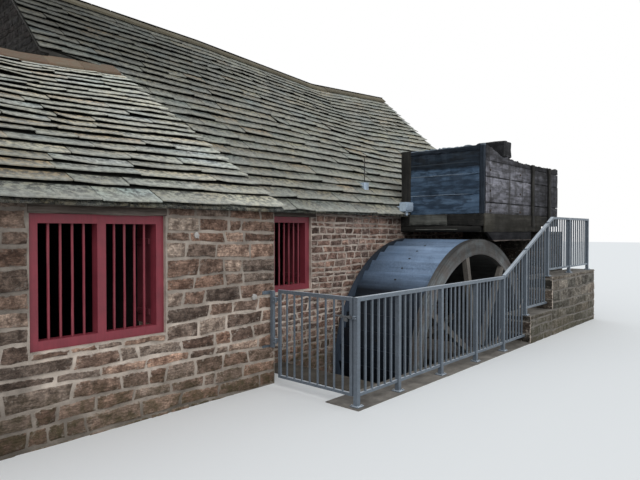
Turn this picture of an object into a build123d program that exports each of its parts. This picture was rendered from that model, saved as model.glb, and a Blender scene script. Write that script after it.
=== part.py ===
from build123d import *

import math
import os

# Stone watermill: a long range with a sagging slate roof, a lower wing built against its left end,
# an overshot timber wheel in a walled pit, a boarded pentrough over the wheel and a steel railing
# with a gate. X runs along the front wall to the right, Y into the building and Z up from the paving.
# Sizes are millimetres in that layout, and the finished model is moved so that its origin is the
# bottom centre of its own box.

# Walls, floors and the ground that they stand in
PIT_DEPTH = 2300.0
WALL_THICKNESS = 500.0
FLOOR_THICKNESS = 150.0
SEAT_GAP = 0.3

# Main range: outer faces, roof lines and the sag of its ridge
RANGE_LEFT_X = 2920.0
RANGE_LENGTH = 9200.0
RANGE_FRONT_Y = 5350.0
RANGE_DEPTH = 6840.0
RANGE_EAVES_Z = 2030.0
RANGE_RIDGE_Z = 5420.0
RANGE_EAVES_OVERHANG = 150.0
VERGE_OVERHANG = 80.0
ROOF_THICKNESS = 100.0
SAG_LEFT = 90.0
SAG_MIDDLE = 280.0
SAG_RIGHT = 105.0

# Wing: outer faces, roof lines and the skewed right verge
WING_LEFT_X = 200.0
WING_FRONT_Y = 4670.0
WING_DEPTH = 5340.0
WING_EAVES_Z = 2000.0
WING_RIDGE_Z = 4030.0
WING_EAVES_OVERHANG = 120.0
WING_VERGE_FOOT_X = 4440.0
WING_VERGE_HEAD_X = 3800.0
WING_CORNER_INSET = 20.0
CHEEK_THICKNESS = 200.0
CHEEK_END_HEIGHT = 40.0
CHEEK_LIFT = 5.0

# Ridge tiles
TILE_WING = 230.0
TILE_THICKNESS = 45.0

# Windows and the door
WING_WINDOW_X = 1710.0
WING_WINDOW_WIDTH = 1245.0
WING_WINDOW_SILL_Z = 780.0
WING_WINDOW_HEIGHT = 1130.0
RANGE_WINDOW_X = 4750.0
RANGE_WINDOW_WIDTH = 1000.0
RANGE_WINDOW_SILL_Z = 940.0
RANGE_WINDOW_HEIGHT = 1020.0
REAR_WINDOW_COUNT = 3
FRAME_WIDTH = 80.0
FRAME_DEPTH = 100.0
FRAME_SETBACK = 40.0
LINTEL_HEIGHT = 70.0
LINTEL_BEARING = 110.0
LINTEL_DEPTH = 220.0
SHUTTER_THICKNESS = 30.0
SHUTTER_ANGLE = 90.0
SHUTTER_CLEARANCE = 3.0
DOOR_WIDTH = 1000.0
DOOR_HEIGHT = 1950.0
DOOR_FRAME_WIDTH = 90.0
DOOR_THICKNESS = 45.0

# Wheel pit and the walls round it
PIT_LEFT_X = 5160.0
PIT_RIGHT_SPACE = 370.0
PIT_FRONT_Y = 3750.0
PIT_WALL_THICKNESS = 450.0
PIER_LENGTH = 1100.0
PIER_HEIGHT = 1750.0
KERB_LEFT_X = 4250.0
KERB_RIGHT_X = 11950.0
STEP_HEIGHTS = (430.0, 990.0)

# Overshot wheel
WHEEL_X = 8040.0
WHEEL_Z = -250.0
WHEEL_RADIUS = 1890.0
WHEEL_FRONT_Y = 3900.0
WHEEL_WIDTH = 1350.0
SHROUD_DEPTH = 240.0
SHROUD_THICKNESS = 75.0
ARM_COUNT = 8
ARM_START_ANGLE = 103.0
ARM_WIDTH = 90.0
FELLOE_JOINT = 4.0
BUCKET_COUNT = 48
BOARD_GAP = 2.0
SOLE_THICKNESS = 35.0
BUCKET_BOARD = 25.0
ELBOW_RADIUS = 1775.0
BUCKET_LIP_INSET = 5.0
BUCKET_LIP_ANGLE = 9.0
HUB_RADIUS = 380.0
HUB_THICKNESS = 60.0
ARM_INNER_RADIUS = 240.0
SHAFT_FLATS = 400.0
SHAFT_OVERSAIL = 10.0
GUDGEON_RADIUS = 45.0
BEARING_CLEARANCE = 0.05
BEARING_LENGTH = 140.0
BEARING_WIDTH = 360.0
BEARING_WALL = 55.0
BEARING_BASE = 50.0
GUDGEON_TAIL = 20.0
NICHE_WIDTH = 560.0
NICHE_BELOW = 200.0
NICHE_ABOVE = 150.0
NICHE_DEPTH = 330.0
BEARING_STANDBACK = 140.0
REAR_BEARING_STANDBACK = 180.0

# Pentrough over the wheel
TROUGH_LENGTH = 3260.0
TROUGH_FRONT_Y = 3820.0
TROUGH_WALL_GAP = 5.0
CROSS_BEAM_DEPTH = 100.0
CROSS_BEAM_WIDTH = 180.0
CROSS_BEAM_STARTS = (0.0, 1160.0, 2310.0)
BEAM_POCKET = 250.0
BEARER_DEPTH = 190.0
BEARER_WIDTH = 200.0
TANK_HEIGHT = 1090.0
TANK_BOARD = 60.0
CORNER_POST = 80.0
BACK_POST_WIDTH = 200.0
SIDE_POST_WIDTH = 110.0
SIDE_POST_THICKNESS = 35.0
SIDE_POST_STARTS = (1880.0, 2700.0)
TOP_RAIL_HEIGHT = 100.0
TOP_RAIL_WIDTH = 120.0
BROKEN_TOP = ((0.0, 0.0), (310.0, 40.0), (590.0, 125.0), (1860.0, 175.0), (3260.0, 140.0))
SLUICE_START = 460.0
SLUICE_LENGTH = 550.0
SLUICE_WIDTH = 400.0
SLUICE_HEIGHT = 250.0
APRON_DROP = 250.0
APRON_START = 110.0
APRON_SLANT = 270.0
APRON_LENGTH = 1910.0

# Steel railing and gate
RAIL_Y = 3405.0
POST_SIZE = 50.0
POST_CENTRES = (4334.0, 5070.0, 6000.0, 6930.0, 7810.0, 8640.0, 9600.0, 10700.0, 11800.0)
BARS_PER_BAY = (5, 7, 7, 7, 6, 7, 8, 8)
RISE_POST_INDEX = 4
STEP_POST_INDEXES = (5, 6)
RAIL_TOP_Z = 1100.0
RAIL_HIGH_Z = 2010.0
RAIL_BREAK_X = 9830.0
RAIL_HEIGHT = 40.0
RAIL_DEPTH = 50.0
LOWER_RAIL_HEIGHT = 30.0
LOWER_RAIL_DEPTH = 25.0
LOWER_RAIL_CLEARANCE = 100.0
BAR_SIZE = 20.0
GATE_X = 4320.0
GATE_THICKNESS = 24.0
GATE_STILE = 36.0
GATE_POST_GAP = 14.0
GATE_BARS = 8
GATE_BAR_SIZE = 16.0
HANGING_POST_SIZE = 40.0
HANGING_POST_GAP = 30.0
HANGING_POST_FOOT_Z = 430.0
HANGING_POST_TOP_Z = 1080.0
HINGE_OFFSET = 30.0
HINGE_PIN_RADIUS = 8.0
HINGE_EYE_RADIUS = 16.0
HINGE_EYE_HEIGHT = 40.0
HINGE_LUG_HEIGHT = 18.0
HINGE_LUG_LIFTS = (50.0, 520.0)
HINGE_CLEARANCE = 0.05
HINGE_REACH = 50.0
STRAP_THICKNESS = 8.0
STRAP_HEIGHT = 40.0
STRAP_LENGTH = 120.0
BOLT_RADIUS = 8.0
BOLT_LENGTH = 210.0
BOLT_Z = 900.0
BOLT_STAPLE_GAP = 110.0
BOLT_STAPLE = 28.0
KEEPER_SIZE = 30.0
KEEPER_CLEARANCE = 7.0
KEEPER_BORE_RADIUS = 10.0
PADLOCK_WIDTH = 42.0
PADLOCK_HEIGHT = 40.0
PADLOCK_THICKNESS = 18.0

# Places worked out from the sizes above
RANGE_RIGHT_X = RANGE_LEFT_X + RANGE_LENGTH
RANGE_REAR_Y = RANGE_FRONT_Y + RANGE_DEPTH
RANGE_RIDGE_Y = RANGE_FRONT_Y + RANGE_DEPTH / 2
RANGE_EAVES_Y = RANGE_FRONT_Y - RANGE_EAVES_OVERHANG
RANGE_REAR_EAVES_Y = RANGE_REAR_Y + RANGE_EAVES_OVERHANG
RANGE_VERGE_LEFT_X = RANGE_LEFT_X - VERGE_OVERHANG
RANGE_VERGE_RIGHT_X = RANGE_RIGHT_X + VERGE_OVERHANG
WING_REAR_Y = WING_FRONT_Y + WING_DEPTH
WING_RIDGE_Y = WING_FRONT_Y + WING_DEPTH / 2
WING_EAVES_Y = WING_FRONT_Y - WING_EAVES_OVERHANG
WING_REAR_EAVES_Y = WING_REAR_Y + WING_EAVES_OVERHANG
WING_VERGE_LEFT_X = WING_LEFT_X - VERGE_OVERHANG
WING_INNER_Y = WING_FRONT_Y + WALL_THICKNESS
FOOT_Z = -PIT_DEPTH

RIDGE_STATIONS = ((0.0, 0.0), (0.36, SAG_LEFT), (0.70, SAG_MIDDLE), (1.0, SAG_RIGHT))
RANGE_ROOF_LENGTH = RANGE_VERGE_RIGHT_X - RANGE_VERGE_LEFT_X

PIT_RIGHT_X = WHEEL_X + WHEEL_RADIUS + PIT_RIGHT_SPACE
TROUGH_LEFT_X = WHEEL_X
TROUGH_RIGHT_X = TROUGH_LEFT_X + TROUGH_LENGTH
TROUGH_BACK_Y = RANGE_FRONT_Y - TROUGH_WALL_GAP
CROSS_BEAM_TOP_Z = PIER_HEIGHT + CROSS_BEAM_DEPTH
TANK_BASE_Z = CROSS_BEAM_TOP_Z + BEARER_DEPTH
TANK_TOP_Z = TANK_BASE_Z + TANK_HEIGHT

WHEEL_BACK_Y = WHEEL_FRONT_Y + WHEEL_WIDTH
SHROUD_INNER_RADIUS = WHEEL_RADIUS - SHROUD_DEPTH
BUCKET_PITCH = 360.0 / BUCKET_COUNT
BUCKET_FRONT_Y = WHEEL_FRONT_Y + SHROUD_THICKNESS
BUCKET_BACK_Y = WHEEL_BACK_Y - SHROUD_THICKNESS
FRONT_BEARING_Y = PIT_FRONT_Y - BEARING_STANDBACK - BEARING_LENGTH
REAR_BEARING_Y = RANGE_FRONT_Y + REAR_BEARING_STANDBACK

STEP_STARTS = tuple(POST_CENTRES[k] - POST_SIZE / 2 for k in STEP_POST_INDEXES)
REAR_WINDOW_PITCH = (RANGE_LENGTH - 2 * WALL_THICKNESS) / REAR_WINDOW_COUNT
REAR_WINDOW_STARTS = tuple(RANGE_LEFT_X + WALL_THICKNESS + REAR_WINDOW_PITCH * (k + 0.5)
                           - RANGE_WINDOW_WIDTH / 2 for k in range(REAR_WINDOW_COUNT))
GATE_LOCK_Y = RAIL_Y + POST_SIZE / 2 + GATE_POST_GAP
HANGING_POST_Y = WING_FRONT_Y - HANGING_POST_GAP - HANGING_POST_SIZE
HINGE_Y = HANGING_POST_Y - HINGE_OFFSET
GATE_HINGE_Y = HINGE_Y - HINGE_REACH
GATE_TOP_Z = RAIL_TOP_Z

ORIGIN = Vector(
    (WING_VERGE_LEFT_X + RANGE_VERGE_RIGHT_X) / 2,
    (PIT_FRONT_Y - PIT_WALL_THICKNESS + RANGE_REAR_EAVES_Y) / 2,
    FOOT_Z,
)


def block(x0, x1, y0, y1, z0, z1):
    """Box between two values along each axis."""
    centre = Pos((x0 + x1) / 2, (y0 + y1) / 2, (z0 + z1) / 2)
    return centre * Box(x1 - x0, y1 - y0, z1 - z0)


def outline(points):
    """Flat face inside a closed outline of points in space."""
    return make_face(Polyline(*points, close=True))


def prism_y(points, y0, y1):
    """Outline of (x, z) points carried along Y."""
    return extrude(outline([(x, y0, z) for x, z in points]), amount=y1 - y0, dir=(0, 1, 0))


def prism_z(points, z0, z1):
    """Outline of (x, y) points carried up Z."""
    return extrude(outline([(x, y, z0) for x, y in points]), amount=z1 - z0, dir=(0, 0, 1))


def cylinder_y(radius, x, z, y0, y1):
    """Round bar along Y."""
    return Pos(x, (y0 + y1) / 2, z) * Rot(90, 0, 0) * Cylinder(radius, y1 - y0)


def ridge_z(x):
    """Height of the range's sagging ridge at x."""
    share = (x - RANGE_VERGE_LEFT_X) / RANGE_ROOF_LENGTH
    for (s0, drop0), (s1, drop1) in zip(RIDGE_STATIONS, RIDGE_STATIONS[1:]):
        if share <= s1:
            break
    return RANGE_RIDGE_Z - drop0 - (drop1 - drop0) * (share - s0) / (s1 - s0)


def range_roof_z(x, y):
    """Top of the range's roof slab."""
    slope = (ridge_z(x) - RANGE_EAVES_Z) / (RANGE_RIDGE_Y - RANGE_EAVES_Y)
    return ridge_z(x) - slope * abs(y - RANGE_RIDGE_Y)


def wing_roof_z(y):
    """Top of the wing's roof slab."""
    slope = (WING_RIDGE_Z - WING_EAVES_Z) / (WING_RIDGE_Y - WING_EAVES_Y)
    return WING_RIDGE_Z - slope * abs(y - WING_RIDGE_Y)


def under_range(x, y):
    """Wall top under the range's roof."""
    return range_roof_z(x, y) - ROOF_THICKNESS - SEAT_GAP


def under_wing(x, y):
    """Wall top under the wing's roof."""
    return wing_roof_z(y) - ROOF_THICKNESS - SEAT_GAP


def verge_x(y):
    """Right verge of the wing's roof, which runs skew."""
    share = (y - WING_EAVES_Y) / (WING_RIDGE_Y - WING_EAVES_Y)
    return WING_VERGE_FOOT_X + (WING_VERGE_HEAD_X - WING_VERGE_FOOT_X) * share


def corner_x(y):
    """Outer face of the wing's return wall, just inside the verge."""
    return verge_x(y) - WING_CORNER_INSET


def stations(x0, x1):
    """Places along the range where its roof changes, from x0 to x1."""
    places = [RANGE_VERGE_LEFT_X + s * RANGE_ROOF_LENGTH for s, drop in RIDGE_STATIONS]
    return [x0] + [x for x in places if x0 < x < x1] + [x1]


def through(profiles):
    """Solid through a row of like profiles, with straight lines between them."""
    return loft([outline(points) for points in profiles], ruled=True)


def range_slope(y_eaves, x0, x1):
    """One slope of the range's roof as a slab that follows the sagging ridge."""
    profiles = []
    for x in stations(x0, x1):
        top = [(y_eaves, range_roof_z(x, y_eaves)), (RANGE_RIDGE_Y, ridge_z(x))]
        under = [(y, z - ROOF_THICKNESS) for y, z in reversed(top)]
        profiles.append([(x, y, z) for y, z in top + under])
    return through(profiles)


def wall_along_x(y0, y1, x0, x1):
    """Range wall along X, its top cut to the roof above it."""
    profiles = []
    for x in stations(x0, x1):
        corners = [(y0, FOOT_Z), (y1, FOOT_Z), (y1, under_range(x, y1)), (y0, under_range(x, y0))]
        profiles.append([(x, y, z) for y, z in corners])
    return through(profiles)


def window_hole(x, width, sill, height, y0, y1):
    """Space of a window through a wall along X."""
    return block(x, x + width, y0 - 1, y1 + 1, sill, sill + height)


def window_frame(x, width, sill, height, y0, mullion):
    """Frame that fills the edge of a window's opening, with a mullion if it has two lights."""
    y1 = y0 + FRAME_DEPTH
    frame = block(x, x + width, y0, y1, sill, sill + height)
    inner0 = x + FRAME_WIDTH
    inner1 = x + width - FRAME_WIDTH
    frame -= block(inner0, inner1, y0 - 1, y1 + 1, sill + FRAME_WIDTH, sill + height - FRAME_WIDTH)
    if mullion:
        middle = x + width / 2
        frame += block(middle - FRAME_WIDTH / 2, middle + FRAME_WIDTH / 2, y0, y1,
                       sill + FRAME_WIDTH, sill + height - FRAME_WIDTH)
    return frame


def lintel(x, width, sill, height, y0, y1):
    """Timber over a window, which bears on the wall at both ends."""
    foot = sill + height
    return block(x - LINTEL_BEARING, x + width + LINTEL_BEARING, y0, y1, foot, foot + LINTEL_HEIGHT)


def wing_window():
    """Place and size of the wing's window."""
    return WING_WINDOW_X, WING_WINDOW_WIDTH, WING_WINDOW_SILL_Z, WING_WINDOW_HEIGHT


def range_window(x):
    """Place and size of one of the range's windows."""
    return x, RANGE_WINDOW_WIDTH, RANGE_WINDOW_SILL_Z, RANGE_WINDOW_HEIGHT


def wing_lintel():
    """Lintel of the wing's window."""
    return lintel(*wing_window(), WING_FRONT_Y, WING_FRONT_Y + LINTEL_DEPTH)


def range_front_lintel():
    """Lintel of the range's front window."""
    return lintel(*range_window(RANGE_WINDOW_X), RANGE_FRONT_Y, RANGE_FRONT_Y + LINTEL_DEPTH)


def range_rear_lintels():
    """Lintels of the range's rear windows."""
    return [lintel(*range_window(x), RANGE_REAR_Y - LINTEL_DEPTH, RANGE_REAR_Y)
            for x in REAR_WINDOW_STARTS]


def shaft_hole(y0, y1):
    """Space round the wheel's gudgeon in a masonry wall."""
    half = NICHE_WIDTH / 2
    return block(WHEEL_X - half, WHEEL_X + half, y0, y1, WHEEL_Z - NICHE_BELOW, WHEEL_Z + NICHE_ABOVE)


def range_front_wall():
    """Front wall of the range, with its window, the wheel's shaft hole and the beam pockets."""
    left = corner_x(RANGE_FRONT_Y) - WALL_THICKNESS
    inner = RANGE_FRONT_Y + WALL_THICKNESS
    wall = wall_along_x(RANGE_FRONT_Y, inner, left, RANGE_RIGHT_X - WALL_THICKNESS)
    wall -= window_hole(*range_window(RANGE_WINDOW_X), RANGE_FRONT_Y, inner)
    wall -= range_front_lintel()
    wall -= shaft_hole(RANGE_FRONT_Y - 1, inner + 1)
    for beam in cross_beams():
        wall -= beam
    return wall


def range_rear_wall():
    """Rear wall of the range with its row of windows."""
    inner = RANGE_REAR_Y - WALL_THICKNESS
    wall = wall_along_x(inner, RANGE_REAR_Y, RANGE_LEFT_X + WALL_THICKNESS,
                        RANGE_RIGHT_X - WALL_THICKNESS)
    for x in REAR_WINDOW_STARTS:
        wall -= window_hole(*range_window(x), inner, RANGE_REAR_Y)
    for timber in range_rear_lintels():
        wall -= timber
    return wall


def range_left_gable():
    """Gable between the range and the wing, under the wing's roof in front of the wing's ridge."""
    profiles = []
    for x in (RANGE_LEFT_X, RANGE_LEFT_X + WALL_THICKNESS):
        meeting = min(under_wing(x, WING_RIDGE_Y), under_range(x, WING_RIDGE_Y))
        corners = [(WING_INNER_Y, FOOT_Z), (WING_INNER_Y, under_wing(x, WING_INNER_Y)),
                   (WING_RIDGE_Y, meeting), (RANGE_RIDGE_Y, under_range(x, RANGE_RIDGE_Y)),
                   (RANGE_REAR_Y, under_range(x, RANGE_REAR_Y)), (RANGE_REAR_Y, FOOT_Z)]
        profiles.append([(x, y, z) for y, z in corners])
    return through(profiles)


def range_right_gable():
    """Right-hand gable of the range."""
    profiles = []
    for x in (RANGE_RIGHT_X - WALL_THICKNESS, RANGE_RIGHT_X):
        corners = [(RANGE_FRONT_Y, FOOT_Z), (RANGE_FRONT_Y, under_range(x, RANGE_FRONT_Y)),
                   (RANGE_RIDGE_Y, under_range(x, RANGE_RIDGE_Y)),
                   (RANGE_REAR_Y, under_range(x, RANGE_REAR_Y)), (RANGE_REAR_Y, FOOT_Z)]
        profiles.append([(x, y, z) for y, z in corners])
    return through(profiles)


def range_roof_front():
    """Front slope, cut away under the wing's roof and behind the pentrough."""
    slope = range_slope(RANGE_EAVES_Y, RANGE_VERGE_LEFT_X, RANGE_VERGE_RIGHT_X)
    under = [(RANGE_VERGE_LEFT_X - 1, WING_RIDGE_Y), (WING_VERGE_HEAD_X, WING_RIDGE_Y),
             (verge_x(RANGE_FRONT_Y), RANGE_FRONT_Y), (verge_x(WING_FRONT_Y), RANGE_FRONT_Y),
             (verge_x(WING_FRONT_Y), RANGE_EAVES_Y - 1), (RANGE_VERGE_LEFT_X - 1, RANGE_EAVES_Y - 1)]
    slope -= prism_z(under, 0, RANGE_RIDGE_Z)
    slope -= block(TROUGH_LEFT_X - TROUGH_WALL_GAP, TROUGH_RIGHT_X + TROUGH_WALL_GAP,
                   RANGE_EAVES_Y - 1, RANGE_FRONT_Y, 0, RANGE_RIDGE_Z)
    return slope


def range_roof_rear():
    """Rear slope of the range's roof."""
    return range_slope(RANGE_REAR_EAVES_Y, RANGE_VERGE_LEFT_X, RANGE_VERGE_RIGHT_X)


def tile_profile(x, ridge_y, roof_z, sides):
    """Section of a ridge tile laid on a roof: a band on each side that meets over the ridge."""
    lower = [(ridge_y + side * TILE_WING, roof_z(ridge_y + side * TILE_WING)) for side in sides]
    lower.insert(1, (ridge_y, roof_z(ridge_y)))
    upper = [(y, z + TILE_THICKNESS) for y, z in reversed(lower)]
    return [(x, y, z + SEAT_GAP) for y, z in lower + upper]


def range_ridge_tiles():
    """Ridge tiles of the range, which follow its sag."""
    profiles = [tile_profile(x, RANGE_RIDGE_Y, lambda y, x=x: range_roof_z(x, y), (-1, 1))
                for x in stations(RANGE_VERGE_LEFT_X, RANGE_VERGE_RIGHT_X)]
    return through(profiles)


def range_floor():
    """Ground floor of the range, with the bay behind the wing's corner."""
    left = RANGE_LEFT_X + WALL_THICKNESS
    right = RANGE_RIGHT_X - WALL_THICKNESS
    front = RANGE_FRONT_Y + WALL_THICKNESS
    rear = RANGE_REAR_Y - WALL_THICKNESS
    bay_front = corner_x(WING_INNER_Y) - WALL_THICKNESS
    bay_back = corner_x(RANGE_FRONT_Y) - WALL_THICKNESS
    plan = [(left, WING_INNER_Y), (bay_front, WING_INNER_Y), (bay_back, RANGE_FRONT_Y),
            (bay_back, front), (right, front), (right, rear), (left, rear)]
    return prism_z(plan, -FLOOR_THICKNESS, 0)


def wing_front_wall():
    """Front wall of the wing with its window, skewed at its right-hand end."""
    plan = [(WING_LEFT_X + WALL_THICKNESS, WING_FRONT_Y), (corner_x(WING_FRONT_Y), WING_FRONT_Y),
            (corner_x(WING_INNER_Y), WING_INNER_Y), (WING_LEFT_X + WALL_THICKNESS, WING_INNER_Y)]
    wall = prism_z(plan, FOOT_Z, WING_RIDGE_Z)
    wall &= wing_section(WING_FRONT_Y, WING_INNER_Y, 0, WING_VERGE_FOOT_X)
    wall -= window_hole(*wing_window(), WING_FRONT_Y, WING_INNER_Y)
    wall -= wing_lintel()
    return wall


def wing_section(y0, y1, x0, x1):
    """Everything under the wing's roof between y0 and y1."""
    heights = [(y, under_wing(x0, y)) for y in sorted({y0, y1, min(max(WING_RIDGE_Y, y0), y1)})]
    corners = [(y0, FOOT_Z)] + heights + [(y1, FOOT_Z)]
    return through([[(x, y, z) for y, z in corners] for x in (x0, x1)])


def wing_left_gable():
    """Left-hand gable of the wing with its doorway."""
    inner = WING_LEFT_X + WALL_THICKNESS
    wall = wing_section(WING_FRONT_Y, WING_REAR_Y, WING_LEFT_X, inner)
    half = DOOR_WIDTH / 2
    wall -= block(WING_LEFT_X - 1, inner + 1, WING_RIDGE_Y - half, WING_RIDGE_Y + half, 0, DOOR_HEIGHT)
    return wall


def wing_rear_wall():
    """Plain rear wall of the wing, up to the range's gable."""
    return wing_section(WING_REAR_Y - WALL_THICKNESS, WING_REAR_Y,
                        WING_LEFT_X + WALL_THICKNESS, RANGE_LEFT_X)


def wing_return_wall():
    """Short skewed wall from the wing's corner back to the range, with the cheek above it."""
    plan = [(corner_x(WING_INNER_Y) - WALL_THICKNESS, WING_INNER_Y),
            (corner_x(WING_INNER_Y), WING_INNER_Y), (corner_x(RANGE_FRONT_Y), RANGE_FRONT_Y),
            (corner_x(RANGE_FRONT_Y) - WALL_THICKNESS, RANGE_FRONT_Y)]
    wall = prism_z(plan, FOOT_Z, WING_RIDGE_Z)
    wall &= wing_section(WING_INNER_Y, RANGE_FRONT_Y, 0, WING_VERGE_FOOT_X)
    return wall + wing_cheek()


def cheek_end_y():
    """Where the cheek has thinned out between the two roofs, or the wing's ridge if that comes first."""
    steps = [under_wing(0, y) - under_range(verge_x(y), y) for y in (RANGE_FRONT_Y, WING_RIDGE_Y)]
    if steps[1] >= CHEEK_END_HEIGHT:
        return WING_RIDGE_Y
    share = (steps[0] - CHEEK_END_HEIGHT) / (steps[0] - steps[1])
    return RANGE_FRONT_Y + (WING_RIDGE_Y - RANGE_FRONT_Y) * share


def wing_cheek():
    """Wedge that closes the step between the two roofs along the wing's verge."""
    profiles = []
    for y in (RANGE_FRONT_Y, cheek_end_y()):
        right = verge_x(y)
        left = right - CHEEK_THICKNESS
        corners = [(left, under_range(left, y) + CHEEK_LIFT), (left, under_wing(left, y)),
                   (right, under_wing(right, y)), (right, under_range(right, y) + CHEEK_LIFT)]
        profiles.append([(x, y, z) for x, z in corners])
    return through(profiles)


def wing_roof_front():
    """Front slope of the wing's roof, up to its ridge and out to the skewed verge."""
    corners = [(WING_EAVES_Y, WING_EAVES_Z), (WING_RIDGE_Y, WING_RIDGE_Z),
               (WING_RIDGE_Y, WING_RIDGE_Z - ROOF_THICKNESS),
               (WING_EAVES_Y, WING_EAVES_Z - ROOF_THICKNESS)]
    slope = through([[(x, y, z) for y, z in corners]
                     for x in (WING_VERGE_LEFT_X, WING_VERGE_FOOT_X)])
    plan = [(WING_VERGE_LEFT_X, WING_EAVES_Y), (WING_VERGE_FOOT_X, WING_EAVES_Y),
            (WING_VERGE_HEAD_X, WING_RIDGE_Y), (WING_VERGE_LEFT_X, WING_RIDGE_Y)]
    return slope & prism_z(plan, 0, WING_RIDGE_Z)


def wing_roof_rear():
    """Rear slope of the wing's roof, up to the range's gable and clear of its verge."""
    corners = [(WING_REAR_EAVES_Y, WING_EAVES_Z), (WING_RIDGE_Y, WING_RIDGE_Z),
               (WING_RIDGE_Y, WING_RIDGE_Z - ROOF_THICKNESS),
               (WING_REAR_EAVES_Y, WING_EAVES_Z - ROOF_THICKNESS)]
    slope = through([[(x, y, z) for y, z in corners] for x in (WING_VERGE_LEFT_X, RANGE_LEFT_X)])
    slope -= block(RANGE_VERGE_LEFT_X, RANGE_LEFT_X + 1, WING_RIDGE_Y - 1,
                   WING_RIDGE_Y + ROOF_THICKNESS, 0, RANGE_RIDGE_Z)
    return slope


def wing_ridge_tiles():
    """Ridge tiles of the wing, with a front band alone where the ridge lies on the range's roof."""
    full = through([tile_profile(x, WING_RIDGE_Y, wing_roof_z, (-1, 1))
                    for x in (WING_VERGE_LEFT_X, RANGE_VERGE_LEFT_X)])
    band = through([tile_profile(x, WING_RIDGE_Y, wing_roof_z, (-1,))
                    for x in (RANGE_VERGE_LEFT_X, WING_VERGE_HEAD_X)])
    return full + band


def wing_floor():
    """Ground floor of the wing."""
    return block(WING_LEFT_X + WALL_THICKNESS, RANGE_LEFT_X, WING_INNER_Y,
                 WING_REAR_Y - WALL_THICKNESS, -FLOOR_THICKNESS, 0)


def wing_window_frame():
    return window_frame(*wing_window(), WING_FRONT_Y + FRAME_SETBACK, True)


def open_shutter(x, light, sill, height, y, way):
    """Right-hand leaf of an inner shutter, which folds back within the wall's reveal, along Y by way."""
    reveal = WALL_THICKNESS - FRAME_SETBACK - FRAME_DEPTH
    width = min(light / 2, reveal) - SHUTTER_CLEARANCE
    y0, y1 = sorted((0, way * SHUTTER_THICKNESS))
    leaf = block(-width, 0, y0, y1, sill + FRAME_WIDTH, sill + height - FRAME_WIDTH)
    return Pos(x, y + way * SEAT_GAP, 0) * Rot(0, 0, -way * SHUTTER_ANGLE) * leaf


def wing_window_shutter():
    """Inner shutter of the wing window's right-hand light."""
    light = (WING_WINDOW_WIDTH - 3 * FRAME_WIDTH) / 2
    hinge_x = WING_WINDOW_X + WING_WINDOW_WIDTH - FRAME_WIDTH
    return open_shutter(hinge_x, light, WING_WINDOW_SILL_Z, WING_WINDOW_HEIGHT,
                        WING_FRONT_Y + FRAME_SETBACK + FRAME_DEPTH, 1)


def range_window_shutters():
    """Inner shutters of the range's windows, one at each."""
    light = RANGE_WINDOW_WIDTH - 2 * FRAME_WIDTH
    hinge = RANGE_WINDOW_WIDTH - FRAME_WIDTH
    front = open_shutter(RANGE_WINDOW_X + hinge, light, RANGE_WINDOW_SILL_Z, RANGE_WINDOW_HEIGHT,
                         RANGE_FRONT_Y + FRAME_SETBACK + FRAME_DEPTH, 1)
    back_y = RANGE_REAR_Y - FRAME_SETBACK - FRAME_DEPTH
    return [front] + [open_shutter(x + hinge, light, RANGE_WINDOW_SILL_Z, RANGE_WINDOW_HEIGHT, back_y, -1)
                      for x in REAR_WINDOW_STARTS]


def range_window_frames():
    """Frames of the range's front window and of its rear row."""
    front = window_frame(*range_window(RANGE_WINDOW_X), RANGE_FRONT_Y + FRAME_SETBACK, False)
    y0 = RANGE_REAR_Y - FRAME_SETBACK - FRAME_DEPTH
    return [front] + [window_frame(*range_window(x), y0, False) for x in REAR_WINDOW_STARTS]


def door_frame():
    """Frame of the wing's door: two jambs and a head."""
    half = DOOR_WIDTH / 2
    x0 = WING_LEFT_X + FRAME_SETBACK
    frame = block(x0, x0 + FRAME_DEPTH, WING_RIDGE_Y - half, WING_RIDGE_Y + half, 0, DOOR_HEIGHT)
    inner = half - DOOR_FRAME_WIDTH
    frame -= block(x0 - 1, x0 + FRAME_DEPTH + 1, WING_RIDGE_Y - inner, WING_RIDGE_Y + inner,
                   -1, DOOR_HEIGHT - DOOR_FRAME_WIDTH)
    return frame


def door_leaf():
    """Plank door, shut in its frame."""
    inner = DOOR_WIDTH / 2 - DOOR_FRAME_WIDTH - SEAT_GAP
    x0 = WING_LEFT_X + FRAME_SETBACK + FRAME_DEPTH / 2
    return block(x0, x0 + DOOR_THICKNESS, WING_RIDGE_Y - inner, WING_RIDGE_Y + inner,
                 SEAT_GAP, DOOR_HEIGHT - DOOR_FRAME_WIDTH - SEAT_GAP)


def pit_front_wall():
    """Wall along the pit's front that steps up with the railing, with a niche for the bearing."""
    first, second = STEP_STARTS
    low, high = STEP_HEIGHTS
    profile = [(KERB_LEFT_X, FOOT_Z), (KERB_RIGHT_X, FOOT_Z), (KERB_RIGHT_X, high), (second, high),
               (second, low), (first, low), (first, 0), (KERB_LEFT_X, 0)]
    wall = prism_y(profile, PIT_FRONT_Y - PIT_WALL_THICKNESS, PIT_FRONT_Y)
    return wall - shaft_hole(PIT_FRONT_Y - NICHE_DEPTH, PIT_FRONT_Y + 1)


def pit_left_wall():
    """Wall at the pit's left-hand end."""
    return block(PIT_LEFT_X - PIT_WALL_THICKNESS, PIT_LEFT_X, PIT_FRONT_Y, RANGE_FRONT_Y, FOOT_Z, 0)


def trough_pier():
    """Masonry pier at the pit's right-hand end, which carries the pentrough."""
    return block(PIT_RIGHT_X, PIT_RIGHT_X + PIER_LENGTH, PIT_FRONT_Y, RANGE_FRONT_Y, FOOT_Z, PIER_HEIGHT)


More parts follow.
